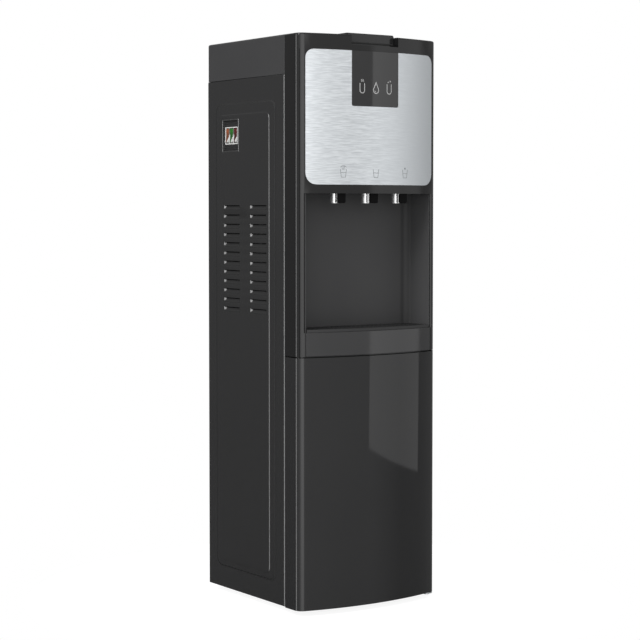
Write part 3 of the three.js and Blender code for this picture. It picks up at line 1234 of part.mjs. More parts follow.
const HOT_X = -72;
const HOT_Y = setback(196);
const HOT_R = 52;
const HOT_Z0 = SHELF_Z + 89.6;
const HOT_Z1 = HOT_Z0 + 170;
const HOT_WALL = 1.5;
const SPOUT_LENGTH = 14;
const HOT_LEG_CIRCLE_R = 40;

// The hot tank: a seamed steel vessel on three legs, open through the spout on its top.
function hotTank() {
  const middle = (HOT_Z0 + HOT_Z1) / 2;
  const spoutTop = HOT_Z1 + SPOUT_LENGTH;
  const inner = HOT_R - HOT_WALL;
  const profile = [
    [0, HOT_Z0], [HOT_R - 10, HOT_Z0], [HOT_R - 3, HOT_Z0 + 3], [HOT_R, HOT_Z0 + 10], [HOT_R, middle - 2],
    [HOT_R + 3, middle - 2], [HOT_R + 3, middle + 2], [HOT_R, middle + 2], [HOT_R, HOT_Z1 - 10],
    [HOT_R - 3, HOT_Z1 - 3], [HOT_R - 10, HOT_Z1], [BARB_R, HOT_Z1], [BARB_R, spoutTop],
    [BARB_R - 1.2, spoutTop], [BARB_R - 1.2, HOT_Z1 - HOT_WALL], [HOT_R - 11, HOT_Z1 - HOT_WALL],
    [inner, HOT_Z1 - 11], [inner, HOT_Z0 + 11], [HOT_R - 11, HOT_Z0 + HOT_WALL], [0, HOT_Z0 + HOT_WALL],
  ];
  const vessel = solid(turned(profile, 20).translate(HOT_X, HOT_Y, 0));
  const inlet = rodZ(BARB_R, HOT_X, HOT_Y, HOT_Z0 - SPOUT_LENGTH, HOT_Z0 + 1, 8);
  const legs = [90, 210, 330].map((deg) => {
    const angle = THREE.MathUtils.degToRad(deg);
    const x = HOT_X + HOT_LEG_CIRCLE_R * Math.cos(angle);
    const y = HOT_Y + HOT_LEG_CIRCLE_R * Math.sin(angle);
    return rodZ(4, x, y, SHELF_Z + FIT, HOT_Z0 + 1, 8);
  });
  return join(vessel, inlet, ...legs);
}

const PUMP_X = 70;
const PUMP_Y = setback(230);
const PUMP_Z = SHELF_Z + 34;

// A diaphragm pump lying on two rubber-footed rails, its head towards the front.
function waterPump() {
  const motor = rodY(21, PUMP_X, PUMP_Y - 20, PUMP_Y + 52, PUMP_Z, 20);
  const headOutline = rounded(PUMP_X - 25, PUMP_X + 25, PUMP_Z - 24, PUMP_Z + 24, 5, 3);
  const head = prismY(headOutline, PUMP_Y - 52, PUMP_Y - 19);
  const rails = box(PUMP_X - 22, PUMP_X + 22, PUMP_Y - 30, PUMP_Y + 40, SHELF_Z + FIT, PUMP_Z - 15);
  const ports = [-14, 14].map((dx) => rodZ(BARB_R, PUMP_X + dx, PUMP_Y - 36, PUMP_Z + 23, PUMP_Z + 38, 8));
  return join(motor, head, rails, ...ports);
}

const POWER_SETBACK = 104;
const POWER_Z0 = SHELF_Z + 109.6;
const POWER_LENGTH = 100;
const POWER_HEIGHT = 110;
const POST_MARGIN = 8;

// The mains board stands on the right side panel, with its relays, transformer and terminals.
function powerBoard() {
  const x = HALF_WIDTH - 14;
  const z0 = POWER_Z0;
  const y0 = setback(POWER_SETBACK);
  const board = box(x, x + BOARD_THICK, y0, y0 + POWER_LENGTH, z0, z0 + POWER_HEIGHT);
  const posts = [POST_MARGIN, POWER_LENGTH - POST_MARGIN].flatMap((dy) =>
    [POST_MARGIN, POWER_HEIGHT - POST_MARGIN].map((dz) =>
      rodX(2.5, x + 1, HALF_WIDTH - SHEET - FIT, y0 + dy, z0 + dz, 8)));
  const blocks = [
    [-30, 14, 50, 18, 60], [-16, 58, 72, 66, 94], [-16, 78, 92, 66, 94], [-14, 56, 92, 16, 28],
    [-20, 66, 80, 38, 52],
  ].map(([dx, a0, a1, b0, b1]) => box(x + dx, x + 0.5, y0 + a0, y0 + a1, z0 + b0, z0 + b1));
  return join(board, ...posts, ...blocks);
}

add('machine_shelf', machineShelf(), 'galvanised');
add('cold_tank', coldTank(), 'stainless');
add('cold_tank_jacket', coldTankJacket(), 'foam');
add('cooling_module', coolingModule(), 'aluminium');
add('heat_sink', heatSink(), 'aluminium');
add('fan_frame', fanFrame(), 'mattBlack');
add('fan_rotor', fanRotor(), 'mattBlack');
add('hot_tank', hotTank(), 'stainless');
add('water_pump', waterPump(), 'greyPlastic');
add('power_board', powerBoard(), 'board');

// ================================================================ hoses inside the machine room
const HOSE_END_GAP = FIT;
const TAP_HOSE_Y = BARB_Y1 + HOSE_END_GAP;
const SPOUT_Z = TANK_Z0 - SPOUT_DROP - HOSE_END_GAP;

function tankToTap(spoutX, tapX, sink) {
  return hose([
    [spoutX, TANK_Y, SPOUT_Z], [spoutX, TANK_Y, SPOUT_Z - sink],
    [(spoutX + tapX) / 2, TANK_Y - 30, SPOUT_Z - sink - 8],
    [tapX, TAP_HOSE_Y + 24, BARB_Z], [tapX, TAP_HOSE_Y, BARB_Z],
  ], HOSE_R, 12);
}

add('hose_cold', tankToTap(SPOUT_PITCH, TAP_PITCH, 10), 'silicone');
add('hose_room', tankToTap(0, 0, 10), 'silicone');
add('hose_hot', hose([
  [HOT_X, HOT_Y, HOT_Z1 + SPOUT_LENGTH + HOSE_END_GAP], [HOT_X, HOT_Y, HOT_Z1 + 30],
  [HOT_X - 2, HOT_Y - 60, BARB_Z - 22], [-TAP_PITCH, TAP_HOSE_Y + 24, BARB_Z],
  [-TAP_PITCH, TAP_HOSE_Y, BARB_Z],
], HOSE_R, 14), 'silicone');
add('hose_feed', hose([
  [-SPOUT_PITCH, TANK_Y, SPOUT_Z], [-SPOUT_PITCH, TANK_Y, SPOUT_Z - 12], [-8, TANK_Y + 40, SPOUT_Z - 60],
  [0, HOT_Y + 20, HOT_Z1 - 40], [0, HOT_Y + 20, HOT_Z0 - 10], [HOT_X + 26, HOT_Y, HOT_Z0 - 34],
  [HOT_X, HOT_Y, HOT_Z0 - 28],
  [HOT_X, HOT_Y, HOT_Z0 - SPOUT_LENGTH - HOSE_END_GAP],
], HOSE_R, 24), 'silicone');

// ================================================================ bottle probe and its supply hose
const PROBE_X = HOSE_X;
const PROBE_Y = HOSE_Y;
const PROBE_CAP_R = 27;
const PROBE_CAP_Z = SHELF_Z - 62;
const PROBE_CROWN = 17;
const PROBE_NIPPLE_TOP = 32;
const PROBE_TUBE_R = 7;
const PROBE_TUBE_WALL = 1.5;
const PROBE_TUBE_Z0 = BODY_Z0 + 46;

// The bottle cap of the probe: a ribbed skirt and a nipple for the hose on its crown.
function probeCap() {
  const z = PROBE_CAP_Z;
  const crown = z + PROBE_CROWN;
  const nipple = z + PROBE_NIPPLE_TOP;
  const bore = PROBE_TUBE_R + FIT;
  const profile = [
    [bore, z], [bore, crown], [4, crown], [4, nipple], [6, nipple], [6, crown + 5],
    [PROBE_CAP_R - 3, crown + 3], [PROBE_CAP_R, crown], [PROBE_CAP_R, z - 6], [PROBE_CAP_R - 2.5, z - 6],
    [PROBE_CAP_R - 2.5, z], [bore, z],
  ];
  return solid(turned(profile, 20).translate(PROBE_X, PROBE_Y, 0));
}

function probeTube() {
  const bore = PROBE_TUBE_R - PROBE_TUBE_WALL;
  const top = PROBE_CAP_Z + PROBE_CROWN - FIT;
  const profile = [
    [bore, PROBE_TUBE_Z0], [PROBE_TUBE_R, PROBE_TUBE_Z0], [PROBE_TUBE_R, top], [bore, top],
    [bore, PROBE_TUBE_Z0],
  ];
  return solid(turned(profile, 12).translate(PROBE_X, PROBE_Y, 0));
}

add('probe_cap', probeCap(), 'mattBlack');
add('probe_tube', probeTube(), 'stainless');
add('supply_hose', hose([
  [PROBE_X, PROBE_Y, PROBE_CAP_Z + PROBE_NIPPLE_TOP + HOSE_END_GAP], [PROBE_X, PROBE_Y, SHELF_Z + 4],
  [PROBE_X, PROBE_Y - 12, PUMP_Z + 40], [PROBE_X - 12, PUMP_Y - 10, PUMP_Z + 66],
  [PUMP_X + 14, PUMP_Y - 36, PUMP_Z + 60],
  [PUMP_X + 14, PUMP_Y - 36, PUMP_Z + 38 + HOSE_END_GAP],
], HOSE_R, 18), 'blueSilicone');
add('hose_fill', hose([
  [PUMP_X - 14, PUMP_Y - 36, PUMP_Z + 38 + HOSE_END_GAP], [PUMP_X - 14, PUMP_Y - 36, PUMP_Z + 60],
  [PUMP_X + 20, PUMP_Y - 40, PUMP_Z + 160], [JACKET_HALF + 20, TANK_Y, TANK_Z0 - 40],
  [JACKET_HALF + 14, TANK_Y, TANK_Z1 - 10], [JACKET_HALF - 8, TANK_Y, TANK_Z1 + 9],
  [TANK_NECK_R + 6, TANK_Y, TANK_Z1 + 8],
], HOSE_R, 26), 'blueSilicone');

export default dispenser;
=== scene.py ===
"""Looks of a floor-standing water dispenser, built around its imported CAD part.

Lengths are in metres unless a comment says otherwise. +Z is up and the front looks to -Y.
"""

import json
import math

import bmesh
import bpy
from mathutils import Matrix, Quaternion, Vector
from mathutils.bvhtree import BVHTree


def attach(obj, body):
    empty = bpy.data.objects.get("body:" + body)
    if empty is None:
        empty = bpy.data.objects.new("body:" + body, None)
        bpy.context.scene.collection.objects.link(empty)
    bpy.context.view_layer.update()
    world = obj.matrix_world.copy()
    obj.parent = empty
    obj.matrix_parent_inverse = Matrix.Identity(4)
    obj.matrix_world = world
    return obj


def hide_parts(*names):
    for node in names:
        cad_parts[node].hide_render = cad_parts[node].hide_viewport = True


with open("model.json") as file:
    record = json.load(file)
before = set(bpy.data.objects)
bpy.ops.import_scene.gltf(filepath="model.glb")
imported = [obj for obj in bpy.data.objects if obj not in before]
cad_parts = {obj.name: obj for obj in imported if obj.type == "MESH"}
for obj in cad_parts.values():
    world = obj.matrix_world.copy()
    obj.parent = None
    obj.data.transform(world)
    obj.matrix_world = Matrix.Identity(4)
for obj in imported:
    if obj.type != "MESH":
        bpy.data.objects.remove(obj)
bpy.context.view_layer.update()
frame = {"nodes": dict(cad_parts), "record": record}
MM = 0.001

# ------------------------------------------------------------------ sizes shared by several pieces
FRONT_Y = -165 * MM
HALF_WIDTH_MM = 155
BOW_DEPTH_MM = 22.5
BOW_RADIUS = (HALF_WIDTH_MM**2 + BOW_DEPTH_MM**2) / (2 * BOW_DEPTH_MM) * MM
BOW_CENTRE_Y = FRONT_Y + BOW_RADIUS
SWITCH_MIDDLE_Y = 0.08075
WHITE = (1.0, 1.0, 1.0)


def bow_y(x, inset):
    """Where the bowed front, set back by inset, lies at x."""
    return BOW_CENTRE_Y - math.sqrt((BOW_RADIUS - inset) ** 2 - x * x)


def back_from_front(millimetres):
    return FRONT_Y + millimetres * MM


# ------------------------------------------------------------------ shader maths
class Value:
    """One output socket; arithmetic on it adds Math nodes."""

    def __init__(self, paint, socket):
        self.paint = paint
        self.socket = socket

    def _math(self, operation, *values):
        return self.paint.node("ShaderNodeMath", {"operation": operation}, dict(enumerate(values)))

    def __add__(self, other):
        return self._math("ADD", self, other)

    __radd__ = __add__

    def __sub__(self, other):
        return self._math("SUBTRACT", self, other)

    def __rsub__(self, other):
        return self._math("SUBTRACT", other, self)

    def __mul__(self, other):
        return self._math("MULTIPLY", self, other)

    __rmul__ = __mul__

    def __truediv__(self, other):
        return self._math("DIVIDE", self, other)

    def abs(self):
        return self._math("ABSOLUTE", self)

    def sin(self):
        return self._math("SINE", self)

    def turn_from(self, other):
        """The angle whose tangent is this value over the other."""
        return self._math("ARCTAN2", self, other)

    def greater(self, limit):
        return self._math("GREATER_THAN", self, limit)

    def less(self, limit):
        return self._math("LESS_THAN", self, limit)

    def max(self, other):
        return self._math("MAXIMUM", self, other)

    def min(self, other):
        return self._math("MINIMUM", self, other)

    def spread(self, low, high, to_low=0.0, to_high=1.0, smooth=True):
        """The value's stretch from low to high laid on to_low to to_high."""
        kind = "SMOOTHSTEP" if smooth else "LINEAR"
        values = {0: self, 1: low, 2: high, 3: to_low, 4: to_high}
        return self.paint.node("ShaderNodeMapRange", {"interpolation_type": kind}, values)


class Nodes:
    """A node tree and the one method that adds its nodes."""

    def node(self, kind, settings=None, values=None, out=0):
        made = self.tree.nodes.new(kind)
        for name, setting in (settings or {}).items():
            if name == "stops":
                ramp = made.color_ramp
                while len(ramp.elements) < len(setting):
                    ramp.elements.new(0.5)
                for element, (position, colour) in zip(ramp.elements, setting):
                    element.position = position
                    element.color = (*colour, 1.0)
            else:
                setattr(made, name, setting)
        for key, value in (values or {}).items():
            socket = made.inputs[key]
            if isinstance(value, Value):
                self.tree.links.new(value.socket, socket)
            elif isinstance(value, tuple) and len(value) == 3 and socket.type == "RGBA":
                socket.default_value = (*value, 1.0)
            else:
                socket.default_value = value
        return Value(self, made.outputs[out])

    def axes(self, place):
        split = self.tree.nodes.new("ShaderNodeSeparateXYZ")
        self.tree.links.new(place.socket, split.inputs[0])
        return [Value(self, output) for output in split.outputs]

    def vector(self, x, y, z):
        return self.node("ShaderNodeCombineXYZ", values={0: x, 1: y, 2: z})


class Paint(Nodes):
    """A node material and the short words its recipe is written in."""

    def __init__(self, name):
        self.material = bpy.data.materials.new(name)
        self.material.use_nodes = True
        self.tree = self.material.node_tree
        self.tree.nodes.clear()
        self.output = self.tree.nodes.new("ShaderNodeOutputMaterial")
        self.place = self.node("ShaderNodeTexCoord", out="Object")

    def stretched(self, scale, turn=(0.0, 0.0, 0.0)):
        values = {"Vector": self.place, "Scale": scale, "Rotation": turn}
        return self.node("ShaderNodeMapping", values=values)

    def noise(self, scale, detail=2.0, rough=0.5, place=None, warp=0.0):
        """Soft noise of this many waves a metre, or on a place that is already scaled."""
        values = {
            "Vector": place or self.place,
            "Scale": scale,
            "Detail": detail,
            "Roughness": rough,
            "Distortion": warp,
        }
        return self.node("ShaderNodeTexNoise", values=values)

    def cells(self, scale, feature="F1", out="Distance"):
        values = {"Vector": self.place, "Scale": scale}
        return self.node("ShaderNodeTexVoronoi", {"feature": feature}, values, out)

    def edge(self):
        """1 along the softened edges of a piece, 0 elsewhere; on the side panels, above 0 where
        highlights are painted and below 0 where shade is painted.
        """
        return self.node("ShaderNodeAttribute", {"attribute_name": "edge"}, out="Fac")

    def blend(self, factor, first, second):
        values = {0: factor, 6: first, 7: second}
        return self.node("ShaderNodeMix", {"data_type": "RGBA"}, values, out=2)

    def bump(self, height, strength, distance, under=None):
        """A normal for relief of this depth, laid over the one under it."""
        values = {"Height": height, "Strength": strength, "Distance": distance}
        if under is not None:
            values["Normal"] = under
        return self.node("ShaderNodeBump", values=values)

    def surface(self, **sockets):
        """The Principled surface; underscores in the words stand for the spaces of socket names."""
        values = {name.replace("_", " "): value for name, value in sockets.items()}
        return self.node("ShaderNodeBsdfPrincipled", values=values)

    def finish(self, shader):
        self.tree.links.new(shader.socket, self.output.inputs["Surface"])
        return self.material

    def coat(self, colour, rough, normal, **others):
        """The material, finished with a Principled surface."""
        return self.finish(
            self.surface(Base_Color=colour, Roughness=rough, Normal=normal, **others)
        )


def grey(level, blue=None):
    """A grey whose blue part may differ a little."""
    return (level, level, level if blue is None else blue)


def dimmed(tone, share):
    return tuple(part * share for part in tone)


# ------------------------------------------------------------------ finishes
def gloss_black_moulding(name, tone, polish, mirror):
    """Black moulding: its tone, its roughness where clean, and its index of refraction."""
    p = Paint(name)
    drift = p.noise(6, 3, 0.55)
    smear = p.noise(21, 4, 0.62, warp=0.8).spread(0.5, 0.78)
    swirl = p.noise(1.0, 3, 0.6, place=p.stretched((90, 900, 90), turn=(0.1, 0.3, 0.2)))
    wear_and_highlight = p.edge() * p.noise(160, 3).spread(0.35, 0.7)
    colour = p.blend(drift, grey(tone, tone * 1.05), grey(tone * 1.4, tone * 1.43))
    colour = p.blend(wear_and_highlight * 0.5, colour, grey(tone + 0.024, tone + 0.025))
    rough = polish + smear * 0.035 + swirl * 0.02 + wear_and_highlight * 0.28
    sink = p.noise(7, 1, 0.4)
    peel = p.noise(520, 2, 0.5)
    normal = p.bump(peel, 0.03, 0.00015, under=p.bump(sink, 0.10, 0.0010))
    return p.coat(colour, rough, normal, IOR=mirror)


NICHE_CORNER_SHADE_X = (0.116, 0.124)
NICHE_WALL_LIGHT_X = (0.1335, 0.1375)


def niche_moulding():
    """Soft black, with painted light on the side walls and painted shade in the corners beside
    them.
    """
    p = Paint("niche_moulding")
    side = p.axes(p.place)[0].abs()
    drift = p.noise(5, 3, 0.5)
    smear = p.noise(19, 4, 0.62, warp=0.8).spread(0.5, 0.78)
    wall = side.spread(*NICHE_WALL_LIGHT_X)
    corner = side.spread(*NICHE_CORNER_SHADE_X) * (1 - wall)
    colour = p.blend(drift, grey(0.0475, 0.0482), grey(0.0535, 0.0542))
    # Painted shade in the corners beside the side walls.
    colour = p.blend(corner, colour, grey(0.036, 0.0365))
    # Painted light: the side walls are lightened.
    colour = p.blend(wall * 0.9, colour, grey(0.062, 0.063))
    colour = p.blend(p.edge() * 0.4, colour, grey(0.06, 0.061))
    rough = 0.40 + smear * 0.06 + drift * 0.04
    normal = p.bump(p.noise(480, 2), 0.04, 0.0002, under=p.bump(p.noise(7, 1, 0.4), 0.08, 0.0010))
    return p.coat(colour, rough, normal, IOR=1.16)


def satin_black_sheet():
    p = Paint("satin_black_sheet")
    drift = p.noise(4, 3, 0.5)
    fleck = p.noise(1500, 2, 0.6)
    rub = p.noise(1.0, 3, 0.6, place=p.stretched((40, 60, 9))).spread(0.48, 0.8)
    # Painted highlights: where the edge attribute is above 0 the paint is lightened towards a pale
    # grey, on rounded edges, the bent front edge, the inner pad's front and the louvre cheeks.
    wear_and_highlight = (p.edge() * (0.75 + 0.25 * p.noise(120, 3))).max(0.0)
    # Painted shade: where the edge attribute is below 0 the paint is darkened, along the outer
    # pad's rear and on the louvre blades.
    painted_shade = (0 - p.edge()).max(0.0)
    colour = p.blend(drift, grey(0.0116, 0.0119), grey(0.0136, 0.0139))
    colour = p.blend(painted_shade, colour, grey(0.0030))
    colour = p.blend(wear_and_highlight, colour, grey(0.19))
    rough = 0.13 + fleck * 0.04 + rub * 0.04 + wear_and_highlight * 0.08 + painted_shade * 0.5
    normal = p.bump(fleck, 0.08, 0.00006, under=p.bump(p.noise(9, 1, 0.4), 0.05, 0.0010))
    return p.coat(colour, rough, normal, IOR=1.50)


def matt_black_grain():
    p = Paint("matt_black_grain")
    grain = p.cells(2600) + p.noise(900, 2)
    drift = p.noise(14, 3)
    wear_and_highlight = p.edge() * p.noise(200, 3).spread(0.3, 0.7)
    colour = p.blend(drift, grey(0.011, 0.0115), grey(0.017, 0.0175))
    colour = p.blend(wear_and_highlight * 0.6, colour, grey(0.06))
    return p.coat(colour, 0.46 + drift * 0.10, p.bump(grain, 0.25, 0.00008))


def soft_rubber(name, tone, dusted):
    p = Paint(name)
    grain = p.noise(1400, 3, 0.6)
    dust = p.noise(60, 4, 0.6).spread(0.5, 0.8)
    colour = p.blend(dust, grey(tone), grey(dusted, dusted * 0.95))
    return p.coat(colour, 0.74 + dust * 0.15, p.bump(grain, 0.4, 0.0001))


FASCIA_SHADE_X = (-0.06, 0.12)


def brushed_fascia():
    """Steel brushed along X in fine, short, slightly wavy strokes, with painted shade that dims the
    steel and softens its strokes towards the right.
    """
    p = Paint("brushed_fascia")
    x, y, z = p.axes(p.place)
    sway = p.noise(1.0, 2, 0.5, place=p.stretched((22, 22, 60)))
    bent = z + (sway - 0.5) * 0.004
    stroke = p.noise(1.0, 2, 0.5, place=p.vector(x * 46, y * 46, bent * 620))
    fine = p.noise(1.0, 2, 0.6, place=p.vector(x * 130, y * 130, bent * 2600))
    hair = p.noise(1.0, 2, 0.6, place=p.vector(x * 52, y * 52, bent * 1500))
    gleam = stroke.spread(0.36, 0.68) * 0.55 + hair.spread(0.34, 0.70) * 0.45
    # Painted shade: the steel and its strokes grow darker towards the right.
    right_shade = x.spread(*FASCIA_SHADE_X)
    gleam = gleam * (1 - right_shade * 0.62) + right_shade * 0.10
    colour = p.blend(gleam, (0.565, 0.592, 0.614), (0.825, 0.856, 0.880))
    colour = p.blend(right_shade * 0.85, colour, (0.480, 0.503, 0.522))
    colour = p.blend(p.edge(), colour, grey(0.90, 0.91))
    rough = 0.34 - gleam * 0.05 + fine * 0.07
    normal = p.bump(hair + fine * 0.4, 0.16, 0.00020)
    return p.coat(colour, rough, normal, Metallic=0.94)


def drawn_metal(name, tone, rough, scale):
    p = Paint(name)
    streak = p.noise(1.0, 3, 0.6, place=p.stretched(scale))
    cloud = p.noise(25, 3)
    colour = p.blend(streak * 0.6 + cloud * 0.4, dimmed(tone, 0.82), tone)
    value = rough + streak * 0.10 + p.edge() * 0.05
    return p.coat(colour, value, p.bump(streak, 0.12, 0.0001), Metallic=1.0)


def galvanised_sheet():
    p = Paint("galvanised_sheet")
    fern = p.noise(70, 4, 0.6)
    shade = p.node("ShaderNodeSeparateColor", values={0: p.cells(150, out="Color")})
    colour = p.blend(shade * 0.6 + fern * 0.4, (0.34, 0.36, 0.37), (0.58, 0.60, 0.61))
    return p.coat(colour, 0.30 + shade * 0.18, p.bump(shade, 0.05, 0.0001), Metallic=0.95)


def bright_chrome():
    p = Paint("bright_chrome")
    film = p.noise(240, 3, 0.6)
    spot = p.noise(60, 2).spread(0.55, 0.8)
    colour = p.blend(film, grey(0.80), grey(0.88))
    rough = 0.20 + film * 0.05 + spot * 0.08
    return p.coat(colour, rough, p.bump(film, 0.03, 0.00005), Metallic=0.82)


def smoked_window():
    p = Paint("smoked_window")
    haze = p.noise(40, 3, 0.6).spread(0.45, 0.8)
    colour = p.blend(haze, grey(0.0020, 0.0024), grey(0.0040, 0.0046))
    rough = 0.05 + haze * 0.04 + p.edge() * 0.06
    return p.coat(colour, rough, p.bump(p.noise(12, 1), 0.04, 0.0006), IOR=1.60)


def tinted_plastic(name, tone, rough):
    p = Paint(name)
    drift = p.noise(40, 3)
    grime = p.noise(90, 4, 0.6).spread(0.55, 0.85)
    colour = p.blend(drift, dimmed(tone, 0.86), tone)
    colour = p.blend(grime * 0.15, colour, dimmed(tone, 0.55))
    value = rough + drift * 0.06 + p.edge() * 0.05
    return p.coat(colour, value, p.bump(p.noise(700, 2), 0.06, 0.0001))


LENS_Z = (0.8555, 0.8700)
LENS_HALF_WIDTH = (0.0012, 0.0062)
LENS_FOOT_Z = 0.8550
LENS_BLUR = 0.0003


def rocker_moulding(name, tone, glow, middle):
    """A tinted lens that narrows downwards and darkens towards its foot, on a rocker painted pale
    grey as a glare reflection; the middle is in millimetres.
    """
    p = Paint(name)
    _, y, z = p.axes(p.place)
    drift = p.noise(60, 3)
    reach = z.spread(*LENS_Z, *LENS_HALF_WIDTH, smooth=False) * z.greater(LENS_FOOT_Z)
    lens = (reach - (y - middle * MM).abs()).spread(-LENS_BLUR, LENS_BLUR)
    colour = p.blend(z.spread(0.866, 0.880), dimmed(tone, 0.45), tone)
    # Painted reflection: outside the lens the rocker is a pale grey that stands for glare.
    colour = p.blend(lens, grey(0.42, 0.41), colour)
    value = 0.20 + drift * 0.08 + p.edge() * 0.06
    normal = p.bump(p.noise(700, 2), 0.05, 0.0001)
    return p.coat(colour, value, normal, Emission_Color=colour, Emission_Strength=glow)


PLATE_SHADE_Z = (0.8655, 0.8725)
PLATE_SHADE_TOP_Z = 0.8814
PLATE_SHADE_REACH = 0.0196


def switch_plate():
    """White plate, shaded by the upper halves of the rockers that stand over its ribs."""
    p = Paint("switch_plate")
    _, y, z = p.axes(p.place)
    grime = p.noise(90, 4, 0.6).spread(0.5, 0.8)
    between = (y - SWITCH_MIDDLE_Y).abs().less(PLATE_SHADE_REACH)
    shaded = z.spread(*PLATE_SHADE_Z) * z.less(PLATE_SHADE_TOP_Z) * between
    colour = p.blend(grime * 0.3, grey(0.50, 0.49), (0.34, 0.33, 0.31))
    colour = p.blend(shaded * 0.88, colour, (0.050, 0.047, 0.034))
    rough = 0.32 + grime * 0.1 + p.edge() * 0.05
    return p.coat(colour, rough, p.bump(p.noise(700, 2), 0.06, 0.0001))


BEZEL_UPRIGHT_FROM = 0.0268
BEZEL_RIM_X = -0.1562


def bezel_moulding():
    """Matt black with paler rims on its outer face, palest on the upright sides."""
    p = Paint("bezel_moulding")
    grain = p.cells(2600) + p.noise(900, 2)
    drift = p.noise(14, 3)
    x, y, _ = p.axes(p.place)
    upright = (y - SWITCH_MIDDLE_Y).abs().greater(BEZEL_UPRIGHT_FROM)
    rim = p.edge() * x.less(BEZEL_RIM_X) * (0.22 + upright * 0.78)
    colour = p.blend(drift, grey(0.011, 0.0115), grey(0.017, 0.0175))
    colour = p.blend(rim, colour, grey(0.22))
    return p.coat(colour, 0.36 + drift * 0.10, p.bump(grain, 0.2, 0.00008))


def insulation_foam():
    p = Paint("insulation_foam")
    bead = p.cells(260)
    colour = p.blend(bead.spread(0.0, 0.7), (0.66, 0.655, 0.63), (0.86, 0.855, 0.83))
    return p.coat(colour, 0.86 - bead * 0.1, p.bump(bead, 0.5, 0.0008))


def circuit_lacquer():
    p = Paint("circuit_lacquer")
    lane = p.cells(300, feature="DISTANCE_TO_EDGE").spread(0.02, 0.05)
    colour = p.blend(lane, (0.012, 0.11, 0.045), (0.008, 0.06, 0.028))
    return p.coat(colour, 0.28 + p.noise(200, 2) * 0.15, p.bump(lane, 0.2, 0.00008))


def soft_tube(name, tone):
    p = Paint(name)
    bloom = p.noise(110, 3)
    colour = p.blend(bloom, dimmed(tone, 0.85), tone)
    normal = p.bump(bloom, 0.08, 0.0002)
    return p.coat(colour, 0.30 + bloom * 0.18, normal, Transmission_Weight=0.25)


def print_ink(name, tone, rough):
    p = Paint(name)
    wear = p.noise(900, 3, 0.6)
    colour = p.blend(wear.spread(0.3, 0.7), dimmed(tone, 0.85), tone)
    return p.coat(colour, rough + wear * 0.1, p.bump(wear, 0.05, 0.00003))


LOOKS = {
    "satin_black_steel": satin_black_sheet(),
    "galvanised_steel": galvanised_sheet(),
    "brushed_fascia_steel": brushed_fascia(),
    "stainless_steel": drawn_metal("drawn_stainless", (0.55, 0.56, 0.57), 0.20, (300, 300, 12)),
    "chrome_nozzle": bright_chrome(),
    "smoked_window": smoked_window(),
    "matt_black_plastic": matt_black_grain(),
    "foot_rubber": soft_rubber("foot_rubber", 0.012, 0.035),
    "white_plastic": tinted_plastic("white_moulding", (0.80, 0.80, 0.78), 0.30),
    "grey_plastic": tinted_plastic("grey_housing", (0.24, 0.26, 0.27), 0.46),
    "rocker_amber": rocker_moulding("amber_rocker", (0.20, 0.052, 0.016), 0.02, 94.85),
    "rocker_dark_red": rocker_moulding("dark_red_rocker", (0.070, 0.003, 0.004), 0.01, 66.65),
    "rocker_green": rocker_moulding("green_rocker", (0.010, 0.115, 0.008), 0.02, 80.75),
    "white_foam": insulation_foam(),
    "bare_aluminium": drawn_metal("extruded_aluminium", (0.62, 0.63, 0.64), 0.28, (12, 12, 400)),
    "circuit_board": circuit_lacquer(),
    "clear_silicone": soft_tube("milky_tube", (0.74, 0.76, 0.76)),
    "blue_silicone": soft_tube("blue_tube", (0.34, 0.56, 0.72)),
}
# Nodes whose look differs from the rest of their slot. Every gloss black moulding is among them.
NODE_LOOKS = {
    "door_shell": gloss_black_moulding("door_moulding", 0.0092, 0.022, 1.46),
    "niche_liner": niche_moulding(),
    "tap_lever_hot": gloss_black_moulding("lever_moulding", 0.0025, 0.40, 1.12),
    "switch_bezel": bezel_moulding(),
    "switch_frame": switch_plate(),
    "drip_tray": gloss_black_moulding("tray_moulding", 0.020, 0.08, 1.50),
    "top_cover": gloss_black_moulding("cover_moulding", 0.0215, 0.12, 1.50),
    "front_frame": gloss_black_moulding("frame_moulding", 0.0042, 0.12, 1.42),
    "top_lid": gloss_black_moulding("lid_moulding", 0.0080, 0.15, 1.42),
}
NODE_LOOKS["tap_lever_room"] = NODE_LOOKS["tap_lever_cold"] = NODE_LOOKS["tap_lever_hot"]
SEAL_RUBBER = soft_rubber("seal_rubber", 0.0035, 0.0070)
SLOT_OF = {part["node"]: part["material_slot"] for part in frame["record"]["subparts"]}


# ------------------------------------------------------------------ finishing a CAD node
DOUBLES_WITHIN = 3e-6
SLIVERS_UNDER = 1e-6
FLAT_WITHIN = math.radians(0.5)
SHARP_OVER = math.radians(30)
ROUNDING_STEPS = 3
SHADING_WEIGHT = 60

# Widths of the rounded edges, in millimetres.
EDGE_WIDTHS = {
    "switch_bezel": 0.8,
    "door_shell": 0.7,
    "front_frame": 0.55,
    "top_cover": 0.8,
    "top_lid": 0.7,
    "steel_fascia": 0.25,
    "display_window": 0.25,
    "drip_tray": 0.6,
    "niche_liner": 0.5,
    "back_panel": 0.3,
}
OTHER_EDGE_WIDTH = 0.35
MADE_APART = {"left_side_panel", "right_side_panel"}


def body_holding(node):
    for body, nodes in frame["record"]["behaviour"]["bodies"].items():
        if node in nodes:
            return body
    raise ValueError(node)


def clean_copy(node):
    """The node's surface with doubles merged and flat neighbours joined."""
    bm = bmesh.new()
    bm.from_mesh(frame["nodes"][node].data)
    bmesh.ops.remove_doubles(bm, verts=bm.verts, dist=DOUBLES_WITHIN)
    bmesh.ops.dissolve_degenerate(bm, dist=SLIVERS_UNDER, edges=bm.edges)
    bmesh.ops.dissolve_limit(
        bm,
        angle_limit=FLAT_WITHIN,
        use_dissolve_boundaries=False,
        verts=bm.verts,
        edges=bm.edges,
        delimit={"NORMAL"},
    )
    return bm


